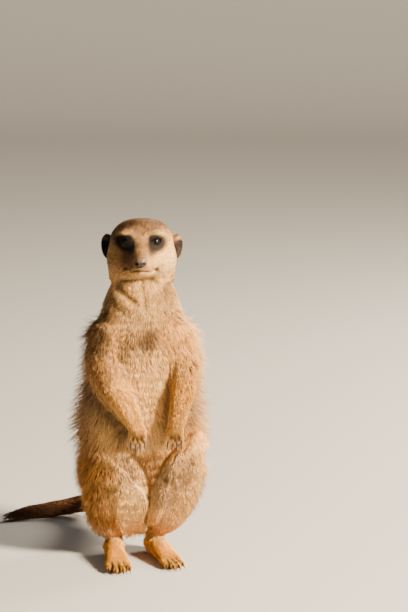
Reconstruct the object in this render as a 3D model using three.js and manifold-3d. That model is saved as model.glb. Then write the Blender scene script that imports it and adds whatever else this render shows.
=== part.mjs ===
// A life-size meerkat that sits up on its hind feet and watches ahead, with its arms hanging
// before its belly and its tail laid back and to one side on the floor.
// Millimetres, +Z up. The animal looks along -Y and its own left side is at +X.
// The origin is on the floor under the middle of the whole model's box.
//
// Each part of the body is a signed field, negative inside: sections strung on a curve, and
// blobs, that melt into one another. skin() shoots rays from a part's own axis to the level set
// of its field and strings the hits into one closed mesh. Neighbours share a fillet, and the one
// that lies under the other is cut back by the gap, so they meet face to face.
import * as THREE from "three";
import { mergeVertices } from "three/addons/utils/BufferGeometryUtils.js";
import Module from "manifold-3d";

const wasm = await Module();
wasm.setup();

// ---------------------------------------------------------------- driving sizes
const GAP = 0.35; // between touching parts
const FLOOR = 0;
const HEAD_AT = [0.3, 2, 262]; // middle of the braincase
// The head's own sizes are measured from there.
const EYE = { x: 10.9, y: -14.8, z: 7, r: 4.7 };
const NOSE = { y: -43.6, z: -5.2, side: 4.5, deep: 4.5, high: 4.5 };
const EAR = { x: 27.2, y: 7, z: -1.5, side: 6, deep: 8.4, high: 11 };
const MOUTH = { lip: 1.7, groove: 0.8, depth: 2.2, corner: -19 };
const CLAW = { front: 11, hind: 7.5, root: 1.25, tip: 0.3, buried: 3 };
const TOE = { root: 3.3, tip: 2.7 };
const LOCK = { thick: 2.2, sunk: 3.2, wrap: 0.06, room: 0.5 };
const COAT_OVER_CORE = 4; // how far a shaggy part's core is drawn in

// Sections along the trunk, from the crotch to inside the head:
// x, y, z, half width, front half depth, back half depth, turn about Z in degrees.
const TRUNK = [
  [-1, 14, 34, 26, 18, 24, 16],
  [-1, 12, 54, 36, 28, 33, 16],
  [-1, 8, 82, 46, 35, 38, 13],
  [-1.5, 5, 110, 51.5, 36, 37, 10],
  [-1.5, 4, 136, 49, 33, 34, 8],
  [-0.5, 4, 162, 45, 30, 30, 6],
  [0, 4, 186, 38.5, 25, 27, 4],
  [0, 4, 205, 31.5, 21, 23.5, 2],
  [0.3, 4, 222, 25.6, 18.5, 21.5, 0],
  [0.3, 4, 240, 24, 17, 21, 0],
];

// Round sections along the limbs and tail: x, y, z, radius.
const ARM = {
  right: [
    [-27, -1, 190, 15],
    [-31, -11, 172, 15],
    [-25, -23, 156, 13],
    [-16.5, -31, 143, 11.2],
    [-8.5, -36.5, 130, 8.8],
    [-3, -40, 118.5, 6.6],
  ],
  left: [
    [28, -1, 190, 15],
    [35, -9, 172, 13.5],
    [35.5, -19, 156, 11.4],
    [33.4, -27, 143, 9.8],
    [30.6, -33.5, 130, 8.1],
    [27.6, -37, 118.5, 6.5],
  ],
};
const THIGH = {
  right: [
    [-27, 24, 58, 23],
    [-30, 8, 70, 23],
    [-32, -7, 80, 20.5],
    [-31, -14, 84, 18],
  ],
  left: [
    [26, 22, 58, 22],
    [29, 8, 68, 21.5],
    [34.5, -3, 79, 17],
    [36.5, -8, 84, 15],
  ],
};
// The inner side of each hind leg, that closes the lap between shank and belly.
const LAP = {
  right: [
    [-15, -4, 88, 10],
    [-8, -10, 73, 12],
    [-5.5, -11, 57, 12],
    [-4.5, -7, 43, 10],
    [-2, -2, 33, 7],
  ],
  left: [
    [24, -4, 86, 10],
    [17, -8, 72, 11.5],
    [15, -8, 57, 11],
    [13, -4, 44, 9],
  ],
};
const SHANK = {
  right: [
    [-31, -13, 80, 17],
    [-32, -10, 62, 18.5],
    [-31.5, -6, 46, 17.5],
    [-31, -2, 34, 15],
    [-26, 1, 24, 10],
    [-24, 2, 15, 8.5],
  ],
  left: [
    [36.5, -8, 80, 14],
    [32, -7, 62, 17.5],
    [26.5, -4, 47, 16.5],
    [20.5, 1, 35, 14],
    [12.5, 7, 24, 9.8],
    [10.5, 9, 15, 8.4],
  ],
};
const TAIL = [
  [-4, 32, 50, 16],
  [-12, 59, 38, 12.8],
  [-23, 88, 27.5, 10.4],
  [-38, 111, 18.5, 9],
  [-58, 124, 12.2, 8.1],
  [-80, 125, 7.6, 7.5],
  [-102, 119, 5.9, 6.2],
  [-119, 110, 4, 4.2],
];

// Sections along the hind feet: x, y, z, half width, height over the axis, depth under it.
const FOOT = {
  right: [
    [-24, 9, 8, 6.6, 7, 8.6],
    [-24, -3, 9.5, 7.6, 9, 10],
    [-22.6, -17, 8, 8.6, 7.6, 8.7],
    [-20.6, -30, 6.2, 9.8, 5.6, 6.9],
    [-19.6, -38, 5.2, 9.4, 4.4, 5.8],
  ],
  left: [
    [8, 18, 8, 6.6, 7, 8.6],
    [11.4, 6, 9.5, 7.6, 9, 10],
    [16.2, -7, 8, 8.4, 7.6, 8.7],
    [20.8, -19, 6.2, 8.4, 5.6, 6.9],
    [23.4, -26.5, 5.2, 7.8, 4.4, 5.8],
  ],
};

// ---------------------------------------------------------------- vectors
const add = (a, b) => [a[0] + b[0], a[1] + b[1], a[2] + b[2]];
const sub = (a, b) => [a[0] - b[0], a[1] - b[1], a[2] - b[2]];
const scale = (a, s) => [a[0] * s, a[1] * s, a[2] * s];
const dot = (a, b) => a[0] * b[0] + a[1] * b[1] + a[2] * b[2];
const cross = (a, b) => [
  a[1] * b[2] - a[2] * b[1],
  a[2] * b[0] - a[0] * b[2],
  a[0] * b[1] - a[1] * b[0],
];
const size = (a) => Math.sqrt(dot(a, a));
const unit = (a) => scale(a, 1 / size(a));
const clamp = (v, low, high) => Math.min(Math.max(v, low), high);
const radians = (degrees) => (degrees * Math.PI) / 180;
const mirror = ([x, y, z]) => [-x, y, z];

// A smooth curve through rows of numbers: row t, counted in rows.
function smoothRow(rows, t) {
  const last = rows.length - 1;
  const i = clamp(Math.floor(t), 0, last - 1);
  const f = clamp(t - i, 0, 1);
  const [a, b, c, d] = [i - 1, i, i + 1, i + 2].map((k) => rows[clamp(k, 0, last)]);
  return b.map((_, n) => {
    const ends = 2 * b[n] + (c[n] - a[n]) * f;
    const bend = (2 * a[n] - 5 * b[n] + 4 * c[n] - d[n]) * f * f;
    return 0.5 * (ends + bend + (3 * b[n] - a[n] - 3 * c[n] + d[n]) * f * f * f);
  });
}

// Evenly spread numbers from 0 to 1, the same on every run.
let seed = 7;
const chance = () => {
  seed = (seed * 16807) % 2147483647;
  return seed / 2147483647;
};

// ---------------------------------------------------------------- fields
// Sections strung on a curve. Rows are x, y, z, half width, height over, depth under, turn;
// "over" is the direction that the height is measured in. Four numbers make a round section.
const STEPS = 4; // straight stretches between two rows
function strung(rows, over = [0, 0, 1]) {
  const count = (rows.length - 1) * STEPS;
  const fine = Array.from({ length: count + 1 }, (_, i) => smoothRow(rows, i / STEPS));
  const links = fine.slice(1).map((b, i) => {
    const a = fine[i];
    const run = sub(b, a);
    const turn = radians(a[6] ?? 0);
    const spin = ([x, y, z]) => [
      x * Math.cos(turn) - y * Math.sin(turn),
      x * Math.sin(turn) + y * Math.cos(turn),
      z,
    ];
    const frame = { along: unit(run), side: spin([1, 0, 0]), over: spin(over) };
    return { a, b, run, length: dot(run, run), ...frame };
  });
  const round = rows[0].length === 4;
  return (p) => {
    let best = Infinity;
    for (const { a, b, run, length, along, side, over: up } of links) {
      const from = sub(p, a);
      const t = clamp(dot(from, run) / length, 0, 1);
      const q = sub(from, scale(run, t));
      const reach = size(q);
      const width = a[3] + (b[3] - a[3]) * t;
      if (round) {
        best = Math.min(best, reach - width);
        continue;
      }
      const v = dot(q, up);
      const n = v > 0 ? 4 : 5;
      const height = a[n] + (b[n] - a[n]) * t;
      const low = Math.min(width, height);
      const k = Math.hypot(dot(q, side) / width, v / height, dot(q, along) / (low * 0.7));
      best = Math.min(best, k < 1e-6 ? -low : reach * (1 - 1 / k));
    }
    return best;
  };
}

// An ellipsoid; a power over 2 makes it boxier.
function blob(at, radii, power = 2) {
  return (p) => {
    const q = sub(p, at);
    const k = Math.pow(
      q.reduce((sum, v, i) => sum + Math.pow(Math.abs(v) / radii[i], power), 0),
      1 / power,
    );
    return k < 1e-6 ? -Math.min(...radii) : size(q) * (1 - 1 / k);
  };
}

const fillet = (a, b, k) => {
  const h = Math.max(k - Math.abs(a - b), 0) / k;
  return (h * h * k) / 4;
};
// Fields melted into one another over the distance k.
const melt = (k, ...fields) => (p) =>
  fields.map((f) => f(p)).reduce((a, b) => Math.min(a, b) - fillet(a, b, k));
// A field with its share of the fillet to each neighbour.
const beside = (field, k, ...neighbours) => (p) => {
  const own = field(p);
  return neighbours.reduce((sum, f) => sum - fillet(own, f(p), k), own);
};

// ---------------------------------------------------------------- meshes
const geometry = (vertices, triangles) =>
  new THREE.BufferGeometry()
    .setAttribute("position", new THREE.Float32BufferAttribute(vertices.flat(), 3))
    .setIndex(triangles.flat());

const WELD = 2e-3; // vertices nearer than this are one
function solid(shape) {
  const bare = shape.index ? shape.toNonIndexed() : shape.clone();
  bare.deleteAttribute("normal");
  bare.deleteAttribute("uv");
  const merged = mergeVertices(bare, WELD);
  return new wasm.Manifold(
    new wasm.Mesh({
      numProp: 3,
      vertProperties: new Float32Array(merged.attributes.position.array),
      triVerts: new Uint32Array(merged.index.array),
    }),
  );
}

// Where the ray from a point inside first leaves the field's level set.
function reachOf(field, from, way, level) {
  let r = 0;
  for (let i = 0; i < 60; i += 1) {
    const d = field(add(from, scale(way, r))) - level;
    if (d > -0.01) break;
    r += Math.max(-d * 0.7, 0.05);
  }
  return r;
}

// Rings of vertices, from the first pole to the last, as one closed mesh.
function strungRings(first, rings, last) {
  const sides = rings[0].length;
  const vertices = [first, ...rings.flat(), last];
  const at = (ring, k) => 1 + ring * sides + (k % sides);
  const triangles = [];
  for (let k = 0; k < sides; k += 1) {
    triangles.push([0, at(0, k + 1), at(0, k)]);
    triangles.push([vertices.length - 1, at(rings.length - 1, k), at(rings.length - 1, k + 1)]);
    for (let ring = 0; ring + 1 < rings.length; ring += 1) {
      const [a, b, c, d] = [at(ring, k), at(ring, k + 1), at(ring + 1, k + 1), at(ring + 1, k)];
      const across = size(sub(vertices[a], vertices[c])) <= size(sub(vertices[b], vertices[d]));
      triangles.push(...(across ? [[a, b, c], [a, c, d]] : [[a, b, d], [b, c, d]]));
    }
  }
  return solid(geometry(vertices, triangles));
}

// The level set of a field as seen from an axis, a list of points. Rings are placed at the given
// shares of the axis, and "caps" rings round off each end. "zero" is where the first side looks.
function skin(field, { axis, sides, rings, caps = 3, zero = [0, -1, 0], grow = 0 }) {
  const even = () => Array.from({ length: rings }, (_, i) => i / (rings - 1));
  const shares = Array.isArray(rings) ? rings : even();
  const spot = (s) => smoothRow(axis, s * (axis.length - 1)).slice(0, 3);
  const heading = (s) => unit(sub(spot(Math.min(s + 0.02, 1)), spot(Math.max(s - 0.02, 0))));
  const hit = (from, way) => add(from, scale(way, reachOf(field, from, way, grow)));
  const ring = (s, tilt) => {
    const along = heading(s);
    const side = unit(cross(zero, along));
    const front = cross(along, side);
    return Array.from({ length: sides }, (_, k) => {
      const turn = (2 * Math.PI * k) / sides;
      const out = add(scale(front, Math.cos(turn)), scale(side, -Math.sin(turn)));
      return hit(spot(s), unit(add(scale(out, Math.cos(tilt)), scale(along, Math.sin(tilt)))));
    });
  };
  const tilts = Array.from({ length: caps }, (_, i) => (Math.PI / 2) * ((i + 1) / (caps + 1)));
  return strungRings(
    hit(spot(0), scale(heading(0), -1)),
    [
      ...tilts.toReversed().map((t) => ring(shares[0], -t)),
      ...shares.map((s) => ring(s, 0)),
      ...tilts.map((t) => ring(shares[shares.length - 1], t)),
    ],
    hit(spot(1), heading(1)),
  );
}

const largest = (body) =>
  body.decompose().reduce((a, b) => (a.volume() > b.volume() ? a : b));
const cut = (body, ...others) => largest(others.reduce((a, b) => a.subtract(b), body));
// A body cut clear of a neighbour that "make" builds grown by a given distance.
const clearOf = (body, ...makes) => cut(body, ...makes.flatMap((make) => [make(GAP), make(0)]));
const fuse = (...bodies) => largest(bodies.reduce((a, b) => a.add(b)));
// Parts a body by a thin plane: the piece that the normal points to, and the rest.
function partedAt(body, at, normal) {
  const n = unit(normal);
  const level = dot(n, at);
  return [
    largest(body.trimByPlane(n, level + GAP / 2)),
    largest(body.trimByPlane(scale(n, -1), -level + GAP / 2)),
  ];
}
const onFloor = (body) => largest(body.trimByPlane([0, 0, 1], FLOOR));

// A sphere stretched to an ellipsoid, turned and placed.
function ball(at, radii, [around, up] = [16, 10], turn = [0, 0, 0]) {
  const shape = new THREE.SphereGeometry(1, around, up)
    .scale(...radii)
    .applyMatrix4(new THREE.Matrix4().makeRotationFromEuler(new THREE.Euler(...turn)))
    .translate(...at);
  return solid(shape);
}

// ---------------------------------------------------------------- head
const onHead = (p) => add(HEAD_AT, p);
const both = (at, radii, power) => [
  blob(onHead(at), radii, power),
  blob(onHead(mirror(at)), radii, power),
];
const MUZZLE = [
  [0, -10, -5, 19, 15, 13],
  [0, -20, -6.4, 15, 12, 12],
  [0, -29, -7, 11.2, 9, 10],
  [0, -37, -7, 8.2, 7, 8],
  [0, -42, -6.8, 5.6, 5.4, 6],
];
const JAW = [
  [0, -16, -18, 12, 5, 6],
  [0, -28, -17.4, 8.4, 4, 4.4],
  [0, -38, -15.8, 5, 2.6, 3],
];
// The line where the lips meet, on the +X side: x, y, z from the middle of the braincase.
const LIPS = [
  [0.2, -42.2, -14],
  [5.2, -39, -15.2],
  [9, -31, -16.4],
  [12, -24, -15.8],
  [14, MOUTH.corner, -14],
];
const lipLine = (flip) =>
  strung(LIPS.map((p) => [...onHead(flip ? mirror(p) : p), MOUTH.lip]));

const bareHead = melt(
  6,
  blob(onHead([0, 4, 0.8]), [27, 25.5, 22.7], 2.35),
  ...both([14.5, -3, -10.5], [14.3, 18, 14]),
  blob(onHead([0, 3, -17]), [26, 20, 14]),
  strung(MUZZLE.map(([x, y, z, ...sizes]) => [...onHead([x, y, z]), ...sizes])),
);
const jaw = strung(JAW.map(([x, y, z, ...sizes]) => [...onHead([x, y, z]), ...sizes]));
const headField = melt(
  3.5,
  bareHead,
  jaw,
  ...both([10.5, -12.5, 13.4], [8.5, 6, 4]), // brows
  ...both([4.6, -36.5, -10.6], [5.4, 6.6, 4.6]), // whisker pads
  lipLine(false),
  lipLine(true),
);
// The eyelids: a shell over each eyeball with an almond opening that looks forward and out.
const LOOK = radians(22); // how far each eye looks out from straight ahead
function lidsAndSocket(head, flip) {
  const at = onHead([flip * EYE.x, EYE.y, EYE.z]);
  const turn = [0, 0, flip * LOOK];
  const out = [flip * Math.sin(LOOK), -Math.cos(LOOK), 0];
  const lids = ball(at, [EYE.r + 1, EYE.r + 1, EYE.r + 0.9], [14, 8], turn);
  const opening = ball(add(at, scale(out, EYE.r)), [3.8, 4, 3.2], [12, 8], turn);
  const socket = ball(at, Array(3).fill(EYE.r + GAP), [12, 8]);
  return cut(fuse(head, lids), opening, socket);
}

const HEAD_SKIN = {
  axis: [
    onHead([0, 12, -3]),
    onHead([0, -8, -4.5]),
    onHead([0, -24, -8.5]),
    onHead([0, -40, -10.2]),
  ],
  sides: 30,
  rings: [0, 0.12, 0.24, 0.35, 0.43, 0.5, 0.57, 0.64, 0.71, 0.78, 0.85, 0.92, 1],
  caps: 4,
  zero: [0, 0, 1],
};

function nose(grow = 0) {
  const sizes = [NOSE.side, NOSE.deep, NOSE.high].map((v) => v + grow);
  const at = onHead([0, NOSE.y, NOSE.z]);
  const pad = skin(blob(at, sizes, 2.5), {
    axis: [add(at, [0, 1.2, 0]), add(at, [0, -1.2, 0])],
    sides: 12,
    rings: 2,
    caps: 2,
    zero: [0, 0, 1],
  });
  const nostrils = [-1, 1].map((flip) =>
    ball(add(at, [flip * 2.9, -3.8, -0.9]), [1.1, 2, 1.1], [6, 5], [0, 0, flip * 0.6]),
  );
  return grow ? pad : cut(pad, ...nostrils);
}

// The mouth: a shallow groove along the lips, cut by a thin curved sheet less the head's inside.
function mouthGroove(inside) {
  const line = LIPS.map(([, y, z]) => new THREE.Vector2(y, z));
  const half = MOUTH.groove / 2;
  line.unshift(new THREE.Vector2(line[0].x - 10, line[0].y));
  const over = line.map((p) => p.clone().add(new THREE.Vector2(0, half)));
  const under = line.map((p) => p.clone().add(new THREE.Vector2(0, -half)));
  const sheet = new THREE.ExtrudeGeometry(new THREE.Shape([...over, ...under.reverse()]), {
    depth: 40,
    bevelEnabled: false,
  });
  // The shape's x is the head's y and its y is the head's z; the sheet's depth lies along x.
  const stand = new THREE.Matrix4().makeBasis(
    new THREE.Vector3(0, 1, 0),
    new THREE.Vector3(0, 0, 1),
    new THREE.Vector3(1, 0, 0),
  );
  sheet.applyMatrix4(stand).translate(...onHead([-20, 0, 0]));
  return solid(sheet).subtract(inside);
}

function ear(flip) {
  const at = onHead([flip * EAR.x, EAR.y, EAR.z]);
  const turn = [0.1, flip * 0.16, flip * -0.35];
  const cup = add(at, [flip * 3.6, -4.4, 0.4]);
  const shell = ball(at, [EAR.side, EAR.deep, EAR.high], [13, 8], turn);
  return cut(shell, ball(cup, [4.9, 6.2, 8.6], [10, 7], turn));
}

// ---------------------------------------------------------------- toes and claws
function toe(from, to) {
  const rows = [[...from, TOE.root], [...to, TOE.tip]];
  return skin(strung(rows), { axis: rows, sides: 6, rings: 2, caps: 1, zero: [0.3, 0, 1] });
}

// A claw leaves the toe's tip along "way" and curls down over its length.
function claw(tip, way, length, grow = 0) {
  const down = [0, 0, -1];
  const rows = [0, 0.4, 0.75, 1].map((s) => {
    const run = add(scale(way, s * length - CLAW.buried), scale(down, s * s * length * 0.16));
    return [...add(tip, run), CLAW.root + (CLAW.tip - CLAW.root) * s ** 1.3];
  });
  return skin(strung(rows), { axis: rows, sides: 5, rings: 3, caps: 0, zero: [0.3, 0.2, 1], grow });
}

// Four toes with their claws, spread across a paw.
function digits(label, roots, tips, clawWay, clawLength) {
  return roots.map((root, i) => ({
    name: `claw_${label}_${i + 1}`,
    toe: toe(root, tips[i]),
    claw: claw(tips[i], unit(clawWay(i)), clawLength),
    socket: claw(tips[i], unit(clawWay(i)), clawLength, GAP),
  }));
}

function hindDigits(side) {
  const rows = FOOT[side];
  const [heel, end] = rows.slice(-2);
  const ahead = unit([end[0] - heel[0], end[1] - heel[1], 0]);
  const across = [-ahead[1], ahead[0], 0];
  const width = side === "left" ? 0.82 : 1;
  const spread = [-7, -2.4, 2.4, 7].map((s) => s * width);
  const reach = [9.5, 13, 12.6, 8.5];
  const foot = [end[0], end[1], 4];
  const roots = spread.map((s) => add(foot, add(scale(across, s * 0.95), scale(ahead, -2))));
  const tips = spread.map((s, i) =>
    add([foot[0], foot[1], 3.2], add(scale(across, s * 1.2), scale(ahead, reach[i]))),
  );
  const way = (i) => add(add(ahead, scale(across, spread[i] * 0.012)), [0, 0, -0.02]);
  return digits(`hind_${side}`, roots, tips, way, CLAW.hind);
}

function frontDigits(side) {
  const [x, y, z] = ARM[side][ARM[side].length - 1];
  const spread = [-4.5, -1.5, 1.5, 4.5];
  const reach = [7, 9, 9, 7];
  const roots = spread.map((s) => [x + s * 0.8, y - 0.8, z - 1]);
  const tips = spread.map((s, i) => [x + s * 1.15, y - 1.6, z - reach[i]]);
  const way = (i) => [spread[i] * 0.02 + (side === "right" ? 0.1 : -0.06), -0.18, -1];
  return digits(`front_${side}`, roots, tips, way, CLAW.front);
}

// ---------------------------------------------------------------- the body's fields
// How shaggy the coat is at a place, from 0 where it is short to 1.
const ramp = (v, low, high) => {
  const t = clamp((v - low) / (high - low), 0, 1);
  return t * t * (3 - 2 * t);
};
const bearing = ([x, y]) => Math.abs(Math.atan2(x, 5 - y)); // 0 at the belly, pi at the spine
const SHAGGY = {
  trunk: (p) => ramp(bearing(p), radians(50), radians(85)) * (1 - ramp(p[2], 196, 216)),
  arm: ([x, , z]) => ramp(Math.abs(x), 32, 44) * ramp(z, 138, 156),
  legRight: ([x, y, z]) => Math.max(ramp(-x, 14, 24), ramp(y, 8, 20)) * ramp(z, 22, 34),
  legLeft: ([x, y, z]) => Math.max(ramp(x, 34, 44), ramp(y, 8, 20)) * ramp(z, 22, 34),
};
// A field drawn in where locks make up the coat.
const cored = (field, share) => (p) => field(p) + COAT_OVER_CORE * share(p);

const trunk = cored(strung(TRUNK, [0, -1, 0]), SHAGGY.trunk);
const arms = {
  right: cored(strung(ARM.right), SHAGGY.arm),
  left: cored(strung(ARM.left), SHAGGY.arm),
};
const thighs = {
  right: cored(strung(THIGH.right), SHAGGY.legRight),
  left: cored(strung(THIGH.left), SHAGGY.legLeft),
};
const laps = { right: strung(LAP.right), left: strung(LAP.left) };
const shanks = {
  right: cored(strung(SHANK.right), SHAGGY.legRight),
  left: cored(strung(SHANK.left), SHAGGY.legLeft),
};
const feet = { right: strung(FOOT.right), left: strung(FOOT.left) };
const tail = strung(TAIL);
const MELT = 9; // fillet between the trunk and what grows from it

// Each body with its share of the fillets, by the names that the locks know their neighbours by.
const BODY = {
  head: beside(headField, MELT, trunk),
  trunk: beside(trunk, MELT, arms.right, arms.left, thighs.right, thighs.left, tail, headField),
  tail: beside(tail, MELT, trunk),
};
for (const side of ["right", "left"]) {
  const [arm, thigh, lap, shank, foot] = [arms, thighs, laps, shanks, feet].map((f) => f[side]);
  BODY[`arm_${side}`] = beside(arm, MELT, trunk);
  BODY[`thigh_${side}`] = beside(thigh, MELT, trunk, shank, lap);
  BODY[`lap_${side}`] = beside(lap, MELT, trunk, thigh, shank);
  BODY[`shank_${side}`] = beside(shank, MELT, thigh, foot);
  BODY[`foot_${side}`] = beside(foot, 5, shank);
}

const skinOf = {
  head: (grow = 0) => skin(BODY.head, { ...HEAD_SKIN, grow }),
  trunk: () =>
    skin(BODY.trunk, {
      axis: [TRUNK[0], TRUNK[TRUNK.length - 1]].map(([x, , z]) => [x, 6, z]),
      sides: 24,
      rings: 17,
      caps: 2,
    }),
  arm: (side, grow = 0) =>
    skin(BODY[`arm_${side}`], {
      axis: ARM[side],
      sides: 12,
      rings: 12,
      caps: 2,
      grow,
    }),
  thigh: (side, grow = 0) =>
    fuse(
      skin(BODY[`thigh_${side}`], {
        axis: THIGH[side],
        sides: 16,
        rings: 8,
        caps: 2,
        zero: [0, 0, 1],
        grow,
      }),
      skin(BODY[`lap_${side}`], {
        axis: LAP[side],
        sides: 12,
        rings: 9,
        caps: 2,
        grow,
      }),
    ),
  shank: (side, grow = 0) =>
    skin(BODY[`shank_${side}`], {
      axis: SHANK[side],
      sides: 14,
      rings: 10,
      caps: 2,
      grow,
    }),
  foot: (side, grow = 0) =>
    skin(BODY[`foot_${side}`], {
      axis: FOOT[side].map(([x, y, z]) => [x, y, z]),
      sides: 12,
      rings: 8,
      caps: 1,
      zero: [0, 0, 1],
      grow,
    }),
  tail: (grow = 0) =>
    skin(BODY.tail, {
      axis: TAIL,
      sides: 10,
      rings: 15,
      caps: 2,
      zero: [0, 0, 1],
      grow,
    }),
};

// ---------------------------------------------------------------- locks
const standing = []; // every lock so far, with its node and box

// A flat tapered lock: sunk at the root, bent over the surface, and lifted towards its tip.
function lock({ at, out, lie }, { length, width, lift, sway }, grow = 0) {
  const across = cross(lie, out);
  const middle = (s, height) =>
    add(at, add(add(scale(lie, s * length), scale(out, height)), scale(across, sway * s * s)));
  const half = LOCK.thick / 2 + grow;
  const section = (s, height, wide, thick) => {
    const m = middle(s, height);
    const droop = scale(out, -LOCK.wrap * wide * width);
    const edge = (k) => add(m, add(scale(across, k * ((wide * width) / 2 + grow)), droop));
    const face = (k) => add(m, scale(out, k * half * thick));
    return [face(1), edge(1), face(-1), edge(-1)];
  };
  const rings = [
    section(-0.12, -LOCK.sunk, 0.7, 1),
    section(0.26, lift * 0.16, 1, 1),
    section(0.64, lift * 0.52, 0.74, 0.75),
  ];
  const tip = add(middle(1, lift), scale(lie, grow));
  return { rings, tip, body: strungRings(middle(-0.2, -LOCK.sunk), rings, tip) };
}

// Where a lock stands: on the level set of a field, seen from a point inside it.
function spotOn(field, from, way) {
  const at = add(from, scale(way, reachOf(field, from, way, 0)));
  const step = 0.5;
  const out = unit([0, 1, 2].map((i) => {
    const d = [0, 0, 0];
    d[i] = step;
    return field(add(at, d)) - field(sub(at, d));
  }));
  const lie = unit(sub([0, 0, -1], scale(out, -out[2])));
  return { at, out, lie };
}

const boxesMeet = (a, b) => [0, 1, 2].every((i) => a.min[i] < b.max[i] && b.min[i] < a.max[i]);

// A lock for a node that keeps clear of its neighbours' fields and locks; shorter where it must.
function clearLock(node, spot, shape, neighbours) {
  const room = (p, least) => neighbours.every((field) => field(p) > least);
  if (!room(spot.at, LOCK.sunk + GAP)) return null;
  for (const share of [1, 0.85, 0.7]) {
    const { rings, tip, body } = lock(spot, { ...shape, length: shape.length * share });
    const points = [...rings.flat(), tip];
    if (!points.every((p) => room(p, GAP + LOCK.room) && p[2] > LOCK.room)) continue;
    const wide = lock(spot, { ...shape, length: shape.length * share }, GAP).body;
    const box = wide.boundingBox();
    const strange = standing.filter((other) => other.node !== node && boxesMeet(box, other.box));
    const crossed = strange.some((other) => !wide.intersect(other.body).isEmpty());
    if (crossed) continue;
    standing.push({ node, body, box: body.boundingBox() });
    return body;
  }
  return null;
}

// Staggered rows of locks on the shaggy side of a body. "stations" are points inside it, from the
// top down, and "ways" are the directions to look in from the station, in degrees from the front.
function coat(node, core, { field, share, stations, first, last, spacing, shape, neighbours }) {
  const locks = stations.flatMap((from, row) => {
    const reach = reachOf(field, from, [1, 0, 0], 0);
    const step = spacing / Math.max(reach, 14);
    const count = Math.floor((radians(last - first) - (row % 2) * step * 0.5) / step) + 1;
    return Array.from({ length: count }, (_, k) => {
      const turn = radians(first) + (k + (row % 2) * 0.5) * step + (chance() - 0.5) * step * 0.2;
      const spot = spotOn(field, from, [Math.sin(turn), -Math.cos(turn), 0]);
      if (share(spot.at) < 0.5) return null;
      const varied = {
        length: shape.length * (0.9 + 0.25 * chance()),
        width: shape.width * (0.88 + 0.24 * chance()),
        lift: shape.lift * (0.85 + 0.35 * chance()),
        sway: (chance() - 0.5) * 5,
      };
      return clearLock(node, spot, varied, neighbours);
    });
  });
  return fuse(core, ...locks.filter(Boolean));
}

// ---------------------------------------------------------------- colours
const finish = (color, roughness, metalness = 0) =>
  new THREE.MeshStandardMaterial({ color, roughness, metalness });
const COAT = {
  head: finish(0xcda678, 0.95),
  chest: finish(0xd2a878, 0.95),
  belly: finish(0xc2905c, 0.95),
  arm: finish(0xdcab6c, 0.95),
  leg: finish(0xbe8848, 0.95),
  foot: finish(0xd7a763, 0.95),
  tail: finish(0x9a6032, 0.95),
  tailTip: finish(0x2a1c14, 0.95),
  ear: finish(0x2b2019, 0.9),
};
const EYEBALL = finish(0x120c08, 0.1);
const NOSE_LEATHER = finish(0x3a2720, 0.45);
const HORN = finish(0x2c2826, 0.35);

const model = new THREE.Group();
function shapeOf(body) {
  const made = body.getMesh();
  return new THREE.BufferGeometry()
    .setAttribute("position", new THREE.BufferAttribute(made.vertProperties, 3))
    .setIndex(new THREE.BufferAttribute(made.triVerts, 1));
}
function place(name, body, material) {
  const shape = shapeOf(largest(solid(shapeOf(body))));
  shape.computeVertexNormals();
  const mesh = new THREE.Mesh(shape, material);
  mesh.name = name;
  model.add(mesh);
}

// ---------------------------------------------------------------- assembly
function makeHead() {
  const inside = skin(headField, { ...HEAD_SKIN, sides: 20, caps: 2, grow: -MOUTH.depth });
  const whole = cut(skinOf.head(), mouthGroove(inside));
  const head = cut(lidsAndSocket(lidsAndSocket(whole, 1), -1), nose(GAP));
  for (const [side, flip] of [["left", 1], ["right", -1]]) {
    const eyeball = ball(onHead([flip * EYE.x, EYE.y, EYE.z]), Array(3).fill(EYE.r), [12, 8]);
    place(`ear_${side}`, clearOf(ear(flip), skinOf.head), COAT.ear);
    place(`eye_${side}`, eyeball, EYEBALL);
  }
  place("head", head, COAT.head);
  place("nose", nose(), NOSE_LEATHER);
}

// The neighbours that a node's locks keep clear of: all bodies but the given ones.
const allBut = (...names) =>
  Object.entries(BODY).filter(([name]) => !names.includes(name)).map(([, field]) => field);
// Points along an axis, from its start to its end, a given distance apart.
function along(axis, gap) {
  const at = (s) => smoothRow(axis, s * (axis.length - 1)).slice(0, 3);
  const points = axis.map((row) => row.slice(0, 3));
  const run = points.slice(1).reduce((sum, p, i) => sum + size(sub(p, points[i])), 0);
  const count = Math.max(Math.round(run / gap), 1);
  return Array.from({ length: count + 1 }, (_, i) => at(i / count));
}

const LEG_LOCK = { length: 24, width: 20, lift: 5.5, rows: 18 };
const ARM_LOCK = { length: 21, width: 17, lift: 4.5, rows: 17 };
const BODY_LOCK = { length: 31, width: 28, lift: 8, rows: 21 };

function limbCoat(name, side, core, rows, share, shape) {
  const outward = side === "left" ? [10, 170] : [190, 350];
  const partner = name.startsWith("thigh") ? [`lap_${side}`] : [];
  return coat(name, core, {
    field: BODY[`${name.split("_")[0]}_${side}`],
    share,
    stations: along(rows, shape.rows),
    first: outward[0],
    last: outward[1],
    spacing: shape.width * 0.92,
    shape,
    neighbours: allBut(`${name.split("_")[0]}_${side}`, ...partner),
  });
}

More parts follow.
